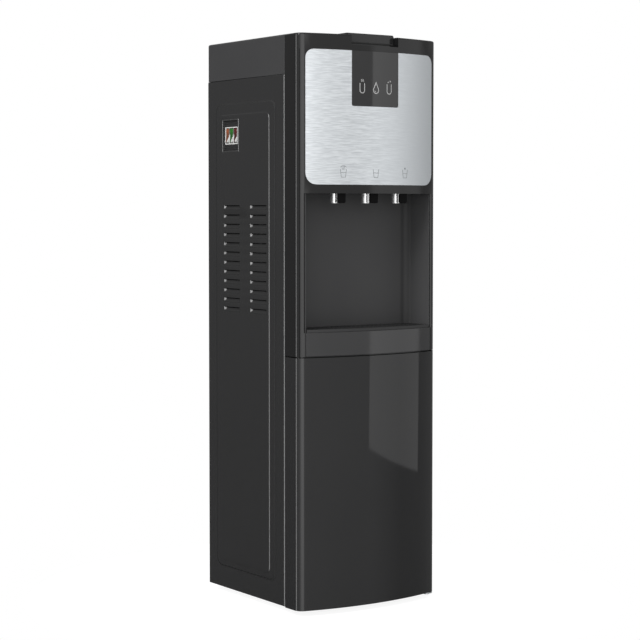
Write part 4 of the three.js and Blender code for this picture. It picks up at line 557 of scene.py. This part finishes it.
def soften(bm, width):
    """Rounds the sharp edges and marks the rounding in the edge attribute."""
    shared = [line for line in bm.edges if len(line.link_faces) == 2]
    sharp = [line for line in shared if line.calc_face_angle(0) > SHARP_OVER]
    if not sharp:
        return
    made = bmesh.ops.bevel(
        bm,
        geom=sharp,
        offset=width,
        offset_type="OFFSET",
        segments=ROUNDING_STEPS,
        profile=0.5,
        clamp_overlap=True,
        loop_slide=True,
        affect="EDGES",
    )
    rounding = set(made["faces"])
    layer = bm.verts.layers.float.new("edge")
    for vertex in bm.verts:
        linked = vertex.link_faces
        vertex[layer] = 1.0 if linked and all(face in rounding for face in linked) else 0.0


def to_piece(name, bm, body, look, nodes=(), crease=48, wall=0.0):
    """Makes a piece that rides on the body and stands for the nodes."""
    mesh = bpy.data.meshes.new(name)
    bm.to_mesh(mesh)
    bm.free()
    mesh.materials.clear()  # puts every face back on the first look
    mesh.materials.append(look)
    mesh.shade_smooth()
    mesh.set_sharp_from_angle(angle=math.radians(crease))
    piece = bpy.data.objects.new(name, mesh)
    bpy.context.collection.objects.link(piece)
    if wall:
        sheet = piece.modifiers.new("sheet thickness", "SOLIDIFY")
        sheet.thickness = wall
        sheet.offset = -1
    even = piece.modifiers.new("even shading", "WEIGHTED_NORMAL")
    even.keep_sharp = True
    even.weight = SHADING_WEIGHT
    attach(piece, body)
    if nodes:
        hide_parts(*nodes)


def finished(node):
    bm = clean_copy(node)
    soften(bm, EDGE_WIDTHS.get(node, OTHER_EDGE_WIDTH) * MM)
    slot = SLOT_OF[node]
    look = NODE_LOOKS[node] if node in NODE_LOOKS else LOOKS[slot]
    to_piece(f"{node}_finish", bm, body_holding(node), look, [node])


for node in sorted(set(frame["nodes"]) - MADE_APART):
    finished(node)


# ------------------------------------------------------------------ what repeats: Geometry Nodes
class Shape(Nodes):
    """A Geometry Nodes tree whose sizes are named inputs."""

    def __init__(self, name, **sizes):
        self.tree = bpy.data.node_groups.new(name, "GeometryNodeTree")
        face = self.tree.interface
        face.new_socket("Geometry", in_out="INPUT", socket_type="NodeSocketGeometry")
        face.new_socket("Geometry", in_out="OUTPUT", socket_type="NodeSocketGeometry")
        self.identifiers = {}
        for word, size in sizes.items():
            kind = "NodeSocketInt" if isinstance(size, int) else "NodeSocketFloat"
            socket = face.new_socket(word.replace("_", " "), in_out="INPUT", socket_type=kind)
            socket.default_value = size
            self.identifiers[word] = socket.identifier
        self.entry = self.tree.nodes.new("NodeGroupInput")

    def start(self):
        """The geometry of the mesh that the tree grows on."""
        return Value(self, self.entry.outputs[0])

    def size(self, word):
        return Value(self, self.entry.outputs[word.replace("_", " ")])

    def position(self):
        return self.axes(self.node("GeometryNodeInputPosition"))

    def close(self, geometry, look):
        real = self.node("GeometryNodeRealizeInstances", values={0: geometry})
        coated = self.node("GeometryNodeSetMaterial", values={"Geometry": real, "Material": look})
        leave = self.tree.nodes.new("NodeGroupOutput")
        self.tree.links.new(coated.socket, leave.inputs[0])
        return self

    def grown(self, start=None, **sizes):
        """The tree's result as a plain mesh, with some sizes set."""
        carrier = bpy.data.objects.new("carrier", start or bpy.data.meshes.new("carrier"))
        bpy.context.collection.objects.link(carrier)
        growth = carrier.modifiers.new("growth", "NODES")
        growth.node_group = self.tree
        for word, size in sizes.items():
            growth[self.identifiers[word]] = size
        final = carrier.evaluated_get(bpy.context.evaluated_depsgraph_get())
        result = bpy.data.meshes.new_from_object(final)
        carrier.modifiers.remove(growth)
        bpy.data.objects.remove(carrier)
        return result


# ------------------------------------------------------------------ side panels
PANEL_FACE = HALF_WIDTH_MM * MM
PANEL_NEAR, PANEL_FAR = -99.4 * MM, 163.5 * MM
PANEL_LOW, PANEL_HIGH = 12 * MM, 970.8 * MM
PANEL_SHEET = 0.8 * MM
PANEL_FLANGE = 12 * MM
PAD_RISE = 0.8 * MM
PAD_TOP = 2 * PAD_RISE

# Shares of a pad's slope and of its rise, from its foot to its top.
PAD_PROFILE = [
    (0.0, 0.0),
    (0.14, 0.05),
    (0.32, 0.25),
    (0.5, 0.5),
    (0.68, 0.75),
    (0.86, 0.95),
    (1.0, 1.0),
]
# Insets and lifts of the bent edge, in millimetres. The other three edges stay within SMALL_BEND.
EDGE_PROFILE = [(2.3, 0.0), (2.0, -0.03), (0.4, -0.62), (0.0, -0.85)]
SMALL_BEND = 0.6

# Pads, in millimetres from the front and the floor. The slope is gentler along the front.
OUTER_PAD = {
    "near": 91,
    "far": 300,
    "low": 52,
    "high": 928,
    "radius": 17,
    "front": 9.0,
    "slope": 4.0,
}
INNER_PAD = {
    "near": 113,
    "far": 287,
    "low": 64,
    "high": 907,
    "radius": 12,
    "front": 2.4,
    "slope": 1.7,
}
CORNER_TIGHTENING = 0.6
CORNER_STEPS = 10
STEEP_SHARES = (0.2, 0.8)
FRONT_SHARE_OF_CORNER = 0.3

# Louvres and the switch opening, in millimetres.
LOUVRE_NEAR = [122.5, 214]
LOUVRE_TOP = 737.5
LOUVRE_PITCH = 17.29
LOUVRE_ROWS = 12
LOUVRE_LENGTH = 55
LOUVRE_HEIGHT = 8.6
SWITCH_HOLE = (52, 109.5, 837, 897.6)

# Values of the edge attribute on the side panels: above 0 for painted highlights, below 0 for
# painted shade.
RIM_HIGHLIGHT = 0.30
PAD_FRONT_HIGHLIGHT = 0.42
PAD_REAR_SHADE = -0.9
CHEEK_HIGHLIGHT = 1.0
BLADE_SHADE = -0.55
CHEEK_LENGTH = 3.9 * MM
CHEEK_SHARES = (0.34, 0.90)


def louvre_tree(look):
    """Blades pressed inwards towards their upper edge, in rows down a column, repeated along Y."""
    s = Shape(
        "louvre_blades",
        Length=LOUVRE_LENGTH * MM,
        Height=LOUVRE_HEIGHT * MM,
        Depth=3.0 * MM,
        Slit=1.1 * MM,
        Front_Cheek=2.0 * MM,
        Rear_Cheek=4.2 * MM,
        Pitch=LOUVRE_PITCH * MM,
        Rows=LOUVRE_ROWS,
        Columns=len(LOUVRE_NEAR),
        Spacing=(LOUVRE_NEAR[1] - LOUVRE_NEAR[0]) * MM,
        Start_X=-PANEL_FACE - PAD_TOP,
        Start_Y=back_from_front(LOUVRE_NEAR[0] + LOUVRE_LENGTH / 2),
        Start_Z=(LOUVRE_TOP - LOUVRE_HEIGHT) * MM,
    )
    length, height = s.size("Length"), s.size("Height")
    sheet = {"Size X": length, "Size Y": height, "Vertices X": 25, "Vertices Y": 9}
    blade = s.node("GeometryNodeMeshGrid", values=sheet)
    x, y, _ = s.position()
    half = length * 0.5
    along = (x / half * (math.pi / 2)).sin() * half
    rise = y / height + 0.5
    front = along.spread(0 - half, s.size("Front_Cheek") - half)
    rear = along.spread(half - s.size("Rear_Cheek"), half, 1.0, 0.0, smooth=False)
    open_part = front.min(rear)
    sink = open_part * (rise * 0.6 + rise.spread(0.0, 1.0) * 0.4)
    up = rise * height - s.size("Slit") * open_part * rise
    pressed = {"Geometry": blade, "Position": s.vector(sink * s.size("Depth"), along, up)}
    blade = s.node("GeometryNodeSetPosition", values=pressed)
    down = {"Count": s.size("Rows"), "Offset": s.vector(0.0, 0.0, 0 - s.size("Pitch"))}
    rows = {"Points": s.node("GeometryNodeMeshLine", values=down), "Instance": blade}
    column = s.node("GeometryNodeInstanceOnPoints", values=rows)
    back = {
        "Count": s.size("Columns"),
        "Start Location": s.vector(s.size("Start_X"), s.size("Start_Y"), s.size("Start_Z")),
        "Offset": s.vector(0.0, s.size("Spacing"), 0.0),
    }
    columns = {"Points": s.node("GeometryNodeMeshLine", values=back), "Instance": column}
    return s.close(s.node("GeometryNodeInstanceOnPoints", values=columns), look)


def rectangle(y0, y1, z0, z1):
    return [(y0, z0), (y1, z0), (y1, z1), (y0, z1)]


def rounded_outline(y0, y1, z0, z1, radius):
    """Points of a rounded rectangle in the side's plane."""
    near, far = y0 + radius, y1 - radius
    low, high = z0 + radius, z1 - radius
    points = []
    for quarter, (y, z) in enumerate([(far, low), (far, high), (near, high), (near, low)]):
        for i in range(CORNER_STEPS + 1):
            angle = math.radians(90 * (quarter - 1) + 90 * i / CORNER_STEPS)
            points.append((y + radius * math.cos(angle), z + radius * math.sin(angle)))
    return points


def loop_at(bm, outline, height):
    return [bm.verts.new((-PANEL_FACE - height, y, z)) for y, z in outline]


def strips_between(bm, loops):
    for first, second in zip(loops, loops[1:]):
        for i, corner in enumerate(first):
            after = (i + 1) % len(first)
            bm.faces.new((corner, first[after], second[after], second[i]))


def loop_edges(bm, loop):
    edges = []
    for i, corner in enumerate(loop):
        other = loop[(i + 1) % len(loop)]
        edges.append(bm.edges.get((corner, other)) or bm.edges.new((corner, other)))
    return edges


def pad_loops(bm, pad, base, edge, front=0.0, rear=0.0):
    """The foot and the top of a pad's slope, whose steep part takes the edge values."""
    front_end = back_from_front(pad["near"] + FRONT_SHARE_OF_CORNER * pad["radius"])
    loops = []
    for share, lift in PAD_PROFILE:
        inset = pad["slope"] * share
        outline = rounded_outline(
            back_from_front(pad["near"] + pad["front"] * share),
            back_from_front(pad["far"] - inset),
            (pad["low"] + inset) * MM,
            (pad["high"] - inset) * MM,
            (pad["radius"] - inset * CORNER_TIGHTENING) * MM,
        )
        loops.append(loop_at(bm, outline, base + PAD_RISE * lift))
        if STEEP_SHARES[0] < share < STEEP_SHARES[1]:
            for corner in loops[-1]:
                corner[edge] = front if corner.co.y < front_end else rear
    strips_between(bm, loops)
    return loops[0], loops[-1]


def face_out(bm, faces):
    """Turns the faces so that most of their area looks to -X."""
    bmesh.ops.recalc_face_normals(bm, faces=faces)
    if sum(face.normal.x * face.calc_area() for face in faces) > 0:
        bmesh.ops.reverse_faces(bm, faces=faces)


def paint_louvre_light_and_shade(blades, edge):
    """Marks the rear cheek of every louvre with a painted highlight and the rest of it with painted
    shade.
    """
    ends = [back_from_front(near + LOUVRE_LENGTH) for near in LOUVRE_NEAR]
    for corner in {corner for face in blades for corner in face.verts}:
        reach = min(end - corner.co.y for end in ends if end - corner.co.y > -1e-6)
        drop = (corner.co.z / MM - LOUVRE_TOP) % LOUVRE_PITCH - LOUVRE_PITCH
        share = (drop + LOUVRE_HEIGHT) / LOUVRE_HEIGHT
        highlighted = reach < CHEEK_LENGTH and CHEEK_SHARES[0] < share < CHEEK_SHARES[1]
        # A painted highlight on the rear cheek and painted shade on the rest of the blade.
        corner[edge] = CHEEK_HIGHLIGHT if highlighted else BLADE_SHADE


def panel_rim(bm, edge):
    """The bent edge round the sheet, with a flange along its front and its rear."""
    rim = []
    for inset, lift in EDGE_PROFILE:
        small = min(inset, SMALL_BEND) * MM
        corners = rectangle(
            PANEL_NEAR + inset * MM, PANEL_FAR - small, PANEL_LOW + small, PANEL_HIGH - small
        )
        rim.append(loop_at(bm, corners, lift * MM))
    strips_between(bm, rim)
    # The front part of the bend carries a painted highlight.
    for corner in rim[1] + rim[2]:
        if corner.co.y < 0:
            corner[edge] = RIM_HIGHLIGHT
    for start, end in ((3, 0), (1, 2)):
        outer = [rim[-1][start], rim[-1][end]]
        inner = [bm.verts.new((-PANEL_FACE + PANEL_FLANGE, v.co.y, v.co.z)) for v in outer]
        bm.faces.new((outer[0], outer[1], inner[1], inner[0]))
    return rim[0]


def panel_holes(bm, with_switch):
    holes = []
    for near in LOUVRE_NEAR:
        for row in range(LOUVRE_ROWS):
            y0, z1 = back_from_front(near), (LOUVRE_TOP - row * LOUVRE_PITCH) * MM
            holes.append(rectangle(y0, y0 + LOUVRE_LENGTH * MM, z1 - LOUVRE_HEIGHT * MM, z1))
    if with_switch:
        holes.append(rectangle(*(size * MM for size in SWITCH_HOLE)))
    return [loop_at(bm, hole, PAD_TOP) for hole in holes]


def pressed_panel(name, look, blades, left):
    """One side's sheet; the right one is mirrored and has no switch opening."""
    bm = bmesh.new()
    edge = bm.verts.layers.float.new("edge")
    rim = panel_rim(bm, edge)
    # Painted shade along the outer pad's rear, a painted highlight along the inner pad's front.
    outer_foot, outer_top = pad_loops(bm, OUTER_PAD, 0.0, edge, rear=PAD_REAR_SHADE)
    inner_foot, inner_top = pad_loops(bm, INNER_PAD, PAD_RISE, edge, front=PAD_FRONT_HIGHLIGHT)
    holes = panel_holes(bm, left)
    for loops in ([rim, outer_foot], [outer_top, inner_foot], [inner_top, *holes]):
        edges = [line for loop in loops for line in loop_edges(bm, loop)]
        bmesh.ops.triangle_fill(
            bm, use_beauty=True, use_dissolve=False, edges=edges, normal=(-1, 0, 0)
        )
    face_out(bm, bm.faces[:])
    skin = len(bm.faces)
    bm.from_mesh(blades)
    bm.faces.ensure_lookup_table()
    face_out(bm, bm.faces[skin:])
    paint_louvre_light_and_shade(bm.faces[skin:], edge)
    if not left:
        for vertex in bm.verts:
            vertex.co.x = -vertex.co.x
        bmesh.ops.reverse_faces(bm, faces=bm.faces)
    to_piece(f"{name}_finish", bm, "cabinet", look, [name], crease=40, wall=PANEL_SHEET)


sheet_look = LOOKS["satin_black_steel"]
blade_mesh = louvre_tree(sheet_look).grown()
pressed_panel("left_side_panel", sheet_look, blade_mesh, True)
pressed_panel("right_side_panel", sheet_look, blade_mesh, False)


# ------------------------------------------------------------------ printed signs, in millimetres
INK_LIFT, INK_SINK = 0.10, -0.15
WINDOW_LEVEL, FASCIA_LEVEL = 948.0, 797.0
WINDOW_PLACES = (-30.0, 0.0, 30.0)
FASCIA_PLACES = (-69.0, 0.0, 69.0)
WINDOW_LINE = 1.25


def arc(x, z, radius, start, end, steps):
    turn = [math.radians(start + (end - start) * i / steps) for i in range(steps + 1)]
    return [(x + radius * math.cos(a), z + radius * math.sin(a)) for a in turn]


class Sign:
    """Printed lines laid on the bowed front of a node, about a centre that can be moved."""

    def __init__(self, node, level, centre=0.0):
        mesh = frame["nodes"][node].data
        faces = [tuple(face.vertices) for face in mesh.polygons]
        self.front = BVHTree.FromPolygons([v.co for v in mesh.vertices], faces)
        self.level = level
        self.centre = centre
        self.bm = bmesh.new()

    def on_front(self, x, z, lift):
        """The point of the front at x and z, brought forward by lift."""
        outside = Vector(((self.centre + x) * MM, -1.0, (self.level + z) * MM))
        return self.front.ray_cast(outside, Vector((0, 1, 0)))[0] - Vector((0, lift * MM, 0))

    def ribbon(self, points, width, closed=False):
        """A strip of even width along the points, closed all round."""
        count = len(points)
        flat = [Vector(p) for p in points]
        rails = []
        for i, here in enumerate(flat):
            before = flat[i - 1] if i or closed else here
            after = flat[(i + 1) % count] if i + 1 < count or closed else here
            way_in = (here - before if here != before else after - here).normalized()
            way_out = (after - here).normalized() if after != here else way_in
            middle = (way_in + way_out).normalized()
            side = Vector((-middle.y, middle.x))
            reach = width / 2 / max(0.5, side.dot(Vector((-way_in.y, way_in.x))))
            quad = []
            for sign, lift in ((1, INK_LIFT), (-1, INK_LIFT), (-1, INK_SINK), (1, INK_SINK)):
                spot = here + side * reach * sign
                quad.append(self.bm.verts.new(self.on_front(spot.x, spot.y, lift)))
            rails.append(quad)
        for i in range(count if closed else count - 1):
            first, second = rails[i], rails[(i + 1) % count]
            for k in range(4):
                after = (k + 1) % 4
                self.bm.faces.new((first[k], first[after], second[after], second[k]))
        if not closed:
            self.bm.faces.new(rails[0])
            self.bm.faces.new(rails[-1])

    def tube(self):
        bottom = arc(0, -4.6, 4.9, 180, 360, 16)
        self.ribbon([(-4.9, 8.2), (-4.9, 2.0), *bottom, (4.9, 2.0), (4.9, 8.2)], WINDOW_LINE)

    def steam(self, low, tall, width, spread):
        for x in (-spread, 0.0, spread):
            wave = [(x + 0.55 * math.sin(i * math.pi / 4), low + tall * i / 8) for i in range(9)]
            self.ribbon(wave, width)

    def star(self, x, z, size, width):
        for angle in (90, 30, -30):
            a = math.radians(angle)
            dx, dz = size * math.cos(a), size * math.sin(a)
            self.ribbon([(x - dx, z - dz), (x, z), (x + dx, z + dz)], width)

    def drop(self):
        outline = arc(0, -3.6, 5.8, 148, 392, 22)
        outline += [(3.1, 3.4), (1.3, 7.2), (0.0, 10.4), (-1.3, 7.2), (-3.1, 3.4)]
        self.ribbon(outline, WINDOW_LINE, closed=True)
        self.ribbon(arc(0, -3.6, 3.2, 195, 265, 6), WINDOW_LINE * 0.7)

    def cup(self, width):
        wall = [(-6.2, 5.2), (-5.2, -2.6), (-4.2, -9.6), (4.2, -9.6), (5.2, -2.6), (6.2, 5.2)]
        self.ribbon(wall, width)
        self.ribbon([(-5.3, -1.6), (-2.2, -1.0), (0.6, -1.9), (5.3, -1.3)], width * 0.8)

    def printed(self, name, look, slot):
        bmesh.ops.recalc_face_normals(self.bm, faces=self.bm.faces)
        to_piece(name, self.bm, "cabinet", look)


def window_signs():
    white = print_ink("window_print", grey(0.44), 0.35)
    heating, water, cooling = (Sign("display_window", WINDOW_LEVEL, x) for x in WINDOW_PLACES)
    heating.tube()
    heating.steam(10.6, 4.6, 0.75, 2.2)
    heating.printed("heating_sign", white, "white_plastic")
    water.drop()
    water.printed("water_sign", white, "white_plastic")
    cooling.tube()
    cooling.star(-2.6, 11.4, 1.5, 0.6)
    cooling.star(2.6, 13.4, 1.8, 0.6)
    cooling.printed("cooling_sign", white, "white_plastic")


def cup_signs():
    dark = print_ink("fascia_print", (0.13, 0.14, 0.15), 0.42)
    cups = Sign("steel_fascia", FASCIA_LEVEL)
    for place in FASCIA_PLACES:
        cups.centre = place
        cups.cup(0.75)
    cups.centre = FASCIA_PLACES[0]
    cups.steam(3.4, 6.4, 0.7, 2.6)
    cups.ribbon(arc(0, 4.4, 6.6, 30, 150, 12), 0.7)
    cups.centre = FASCIA_PLACES[2]
    cups.star(0.0, 7.2, 2.4, 0.7)
    cups.printed("cup_signs", dark, "matt_black_plastic")


window_signs()
cup_signs()


# ------------------------------------------------------------------ seals, and a dark strip standing for the shadow under the lid's tongue, in millimetres
RAIL_SEAL_Z = 465.85
RAIL_SEAL_INSET = 3.4
RAIL_SEAL_X = (120, 128, 136, 143, 148)
RAIL_SEAL_CORNER = [(151.0, -140.0), (152.2, -134.0), (152.2, -118.0), (152.2, -101.5)]
# A dark strip along the lower edge of the lid's tongue, standing for the shadow gap there.
LID_SHADOW_STRIP_Y, LID_SHADOW_STRIP_Z = -149.8, 1028.9
LID_SHADOW_STRIP_X = (-49, -25, 0, 25, 49)


def seal_tree(look):
    """A rounded lip swept along the points of the start mesh."""
    s = Shape("swept_seal", Width=1.6 * MM, Height=1.4 * MM, Step=2.0 * MM)
    path = s.node("GeometryNodeMeshToCurve", values={0: s.start()})
    even = {"Curve": path, "Length": s.size("Step")}
    path = s.node("GeometryNodeResampleCurve", {"mode": "LENGTH"}, even)
    round_bar = s.node("GeometryNodeCurvePrimitiveCircle", values={"Resolution": 10, "Radius": 0.5})
    x, y, _ = s.position()
    flat = s.vector(x * s.size("Width"), y * s.size("Height"), 0.0)
    values = {"Geometry": round_bar, "Position": flat}
    section = s.node("GeometryNodeSetPosition", values=values)
    swept = {"Curve": path, "Profile Curve": section, "Fill Caps": True}
    return s.close(s.node("GeometryNodeCurveToMesh", values=swept), look)


def path_of(points):
    mesh = bpy.data.meshes.new("path")
    steps = [(i, i + 1) for i in range(len(points) - 1)]
    mesh.from_pydata([tuple(c * MM for c in point) for point in points], steps, [])
    return mesh


SEAL_TREE = seal_tree(SEAL_RUBBER)


def seal(name, body, points, width, height):
    bm = bmesh.new()
    bm.from_mesh(SEAL_TREE.grown(path_of(points), Width=width * MM, Height=height * MM))
    bmesh.ops.recalc_face_normals(bm, faces=bm.faces)
    to_piece(name, bm, body, SEAL_RUBBER)


rail_front = [(x, bow_y(x * MM, RAIL_SEAL_INSET * MM) / MM) for x in RAIL_SEAL_X]
rail_path = [(x, y, RAIL_SEAL_Z) for x, y in rail_front + RAIL_SEAL_CORNER]
seal("rail_seal", "cabinet", rail_path, 1.6, 1.1)
# Dark strip that stands for the shadow under the lid's tongue.
seal("lid_shadow_strip", "lid", [(x, LID_SHADOW_STRIP_Y, LID_SHADOW_STRIP_Z) for x in LID_SHADOW_STRIP_X], 1.2, 3.4)


# ------------------------------------------------------------------ screws of the back panel
SCREW_Y = 164.9 * MM
SIDE_SCREW_X = 146
SIDE_SCREW_Z = (60, 285, 510, 735, 948)
END_SCREW_X = (-75, 0, 75)
END_SCREW_Z = (22, 962)


def screw_tree(look):
    """Cross-recess screw heads on points, each turned to its point's facing."""
    s = Shape(
        "cross_screws",
        Head_Radius=3.4 * MM,
        Head_Height=0.9 * MM,
        Crown=0.35 * MM,
        Slot=0.9 * MM,
    )
    radius, height, slot = s.size("Head_Radius"), s.size("Head_Height"), s.size("Slot")
    disc = {
        "Vertices": 24,
        "Side Segments": 1,
        "Fill Segments": 4,
        "Radius": radius,
        "Depth": height,
    }
    head = s.node("GeometryNodeMeshCylinder", values=disc)
    x, y, z = s.position()
    reach = (x * x + y * y) / (radius * radius)
    crown = z.greater(0.0) * (1 - reach) * s.size("Crown")
    domed = {"Geometry": head, "Offset": s.vector(0.0, 0.0, crown)}
    head = s.node("GeometryNodeSetPosition", values=domed)
    bars = s.tree.nodes.new("GeometryNodeJoinGeometry")
    for wide, deep in ((radius * 1.25, slot), (slot, radius * 1.25)):
        bar = s.node("GeometryNodeMeshCube", values={"Size": s.vector(wide, deep, height)})
        lifted = {"Geometry": bar, "Offset": s.vector(0.0, 0.0, height * 0.62)}
        s.tree.links.new(s.node("GeometryNodeSetPosition", values=lifted).socket, bars.inputs[0])
    cut = {"Mesh 1": head, "Mesh 2": Value(s, bars.outputs[0])}
    head = s.node("GeometryNodeMeshBoolean", {"operation": "DIFFERENCE"}, cut)
    vectors = {"data_type": "FLOAT_VECTOR"}
    facing = s.node("GeometryNodeInputNamedAttribute", vectors, {"Name": "facing"})
    turn = s.node("FunctionNodeAlignRotationToVector", {"axis": "Z"}, {"Vector": facing})
    values = {"Points": s.start(), "Instance": head, "Rotation": turn}
    return s.close(s.node("GeometryNodeInstanceOnPoints", values=values), look)


def screw_points(places, facing):
    mesh = bpy.data.meshes.new("screw_points")
    mesh.from_pydata(places, [], [])
    turned = mesh.attributes.new("facing", "FLOAT_VECTOR", "POINT")
    for point in turned.data:
        point.vector = facing
    return mesh


def screws():
    look = LOOKS["galvanised_steel"]
    places = [(side * SIDE_SCREW_X, z) for side in (-1, 1) for z in SIDE_SCREW_Z]
    places += [(x, z) for x in END_SCREW_X for z in END_SCREW_Z]
    points = screw_points([(x * MM, SCREW_Y, z * MM) for x, z in places], (0.0, 1.0, 0.0))
    bm = bmesh.new()
    bm.from_mesh(screw_tree(look).grown(points))
    to_piece("back_panel_screws", bm, "cabinet", look, crease=30)


screws()


# ------------------------------------------------------------------ floor, lamps, world and camera
FLOOR_RADIUS = 0.56
FLOOR_SIDES = 96

# Name, place, what it looks at, width, height, watts and roll in degrees.
LAMPS = [
    ("right softbox", (1.726, -1.675, 0.972), (0, 0, 0.972), 1.17, 2.056, 4.9, -3.6),
    ("top softbox", (-0.6, -0.9, 2.6), (0, 0, 0.6), 1.6, 1.6, 12.0, 0.0),
    ("left strip", (-2.1, 0.56, 0.75), (-0.15, 0.0, 0.75), 0.42, 3.0, 15.0, 0.0),
    ("front key", (-1.74, -0.55, 1.74), (-0.155, 0.02, 0.65), 0.70, 0.70, 26.0, 0.0),
]

# How bright the room is round the horizon: degrees from the front towards +X, and radiance.
ROOM = [
    (-180, 0.26),
    (-172, 0.10),
    (-166, 0.06),
    (-158, 0.11),
    (-151, 0.27),
    (-146, 0.27),
    (-128, 0.27),
    (-108, 0.60),
    (-60, 1.00),
    (-34, 2.85),
    (-10, 2.95),
    (-3, 1.65),
    (3, 0.90),
    (24, 0.82),
    (35, 0.78),
    (50, 0.42),
    (62, 0.42),
    (75, 0.62),
    (110, 0.30),
    (180, 0.26),
]
ROOM_PEAK = 3.0
ROOM_TOP = 0.50

CAMERA_PLACE = (-1.93318, -2.78989, 0.72993)
CAMERA_DOWN = 2.7058
CAMERA_TURN = -34.593
CAMERA_LENS = 101.24
CAMERA_SHIFT = -0.04


def floor_look():
    """Pale and matt with the object's shadow, near white to the camera, and not mirrored."""
    p = Paint("studio_floor")
    mottle = p.noise(3, 3)
    colour = p.blend(mottle, grey(0.80), grey(0.83))
    matt = p.surface(Base_Color=colour, Roughness=0.8 + mottle * 0.1)
    seen = p.node("ShaderNodeLightPath", out="Is Camera Ray")
    white = p.node("ShaderNodeEmission", values={"Color": WHITE, "Strength": 0.82})
    lift = p.node("ShaderNodeEmission", values={"Color": WHITE, "Strength": 0.32 * seen})
    veil = p.node("ShaderNodeMixShader", values={0: 0.7 * seen, 1: matt, 2: white})
    paper = p.node("ShaderNodeAddShader", values={0: veil, 1: lift})
    mirrored = p.node("ShaderNodeLightPath", out="Is Glossy Ray")
    clear = p.node("ShaderNodeBsdfTransparent", values={0: WHITE})
    return p.finish(p.node("ShaderNodeMixShader", values={0: mirrored, 1: paper, 2: clear}))


def studio_floor():
    mesh = bpy.data.meshes.new("studio_floor")
    turns = [math.tau * i / FLOOR_SIDES for i in range(FLOOR_SIDES)]
    rim = [(FLOOR_RADIUS * math.cos(a), FLOOR_RADIUS * math.sin(a), 0.0) for a in turns]
    mesh.from_pydata(rim, [], [tuple(range(FLOOR_SIDES))])
    mesh.materials.append(floor_look())
    floor = bpy.data.objects.new("studio_floor", mesh)
    bpy.context.collection.objects.link(floor)


def soft_lamp(name, place, aim, width, height, watts, roll):
    lamp = bpy.data.lights.new(name, "AREA")
    lamp.shape = "RECTANGLE"
    lamp.size, lamp.size_y = width, height
    lamp.energy = watts
    holder = bpy.data.objects.new(name, lamp)
    holder.location = place
    facing = (Vector(aim) - Vector(place)).to_track_quat("-Z", "Y")
    turned = facing @ Quaternion((0, 0, 1), math.radians(roll))
    holder.rotation_euler = turned.to_euler()
    bpy.context.collection.objects.link(holder)


def studio_world():
    """White to the camera and through clear pieces, and the graded room to every other ray."""
    world = bpy.data.worlds.new("studio")
    bpy.context.scene.world = world
    world.use_nodes = True
    p = Nodes()
    p.tree = world.node_tree
    p.tree.nodes.clear()
    x, y, z = p.axes(p.node("ShaderNodeTexCoord", out="Generated"))
    around = x.turn_from(0 - y) * (0.5 / math.pi) + 0.5
    stops = [(angle / 360 + 0.5, grey(level / ROOM_PEAK)) for angle, level in ROOM]
    ring = p.node("ShaderNodeValToRGB", {"stops": stops}, {0: around}) * ROOM_PEAK
    up = z.spread(0.15, 0.75)
    level = (ring * (1 - up) + up * ROOM_TOP) * z.spread(-0.45, 0.10, 0.42, 1.0, smooth=False)
    camera_ray = p.node("ShaderNodeLightPath", out="Is Camera Ray")
    seen = camera_ray.max(p.node("ShaderNodeLightPath", out="Is Transmission Ray"))
    strength = seen + (1 - seen) * level
    sky = p.node("ShaderNodeBackground", values={"Color": WHITE, "Strength": strength})
    leave = p.tree.nodes.new("ShaderNodeOutputWorld")
    p.tree.links.new(sky.socket, leave.inputs["Surface"])


def studio_camera():
    camera = bpy.data.cameras.new("camera")
    camera.sensor_width = 36
    camera.lens = CAMERA_LENS
    camera.shift_y = CAMERA_SHIFT
    camera.clip_end = 100
    holder = bpy.data.objects.new("camera", camera)
    holder.location = CAMERA_PLACE
    holder.rotation_euler = (math.radians(90 - CAMERA_DOWN), 0, math.radians(CAMERA_TURN))
    bpy.context.collection.objects.link(holder)
    bpy.context.scene.camera = holder


studio_floor()
studio_world()
for lamp in LAMPS:
    soft_lamp(*lamp)
studio_camera()
bpy.context.scene.view_settings.view_transform = "Standard"
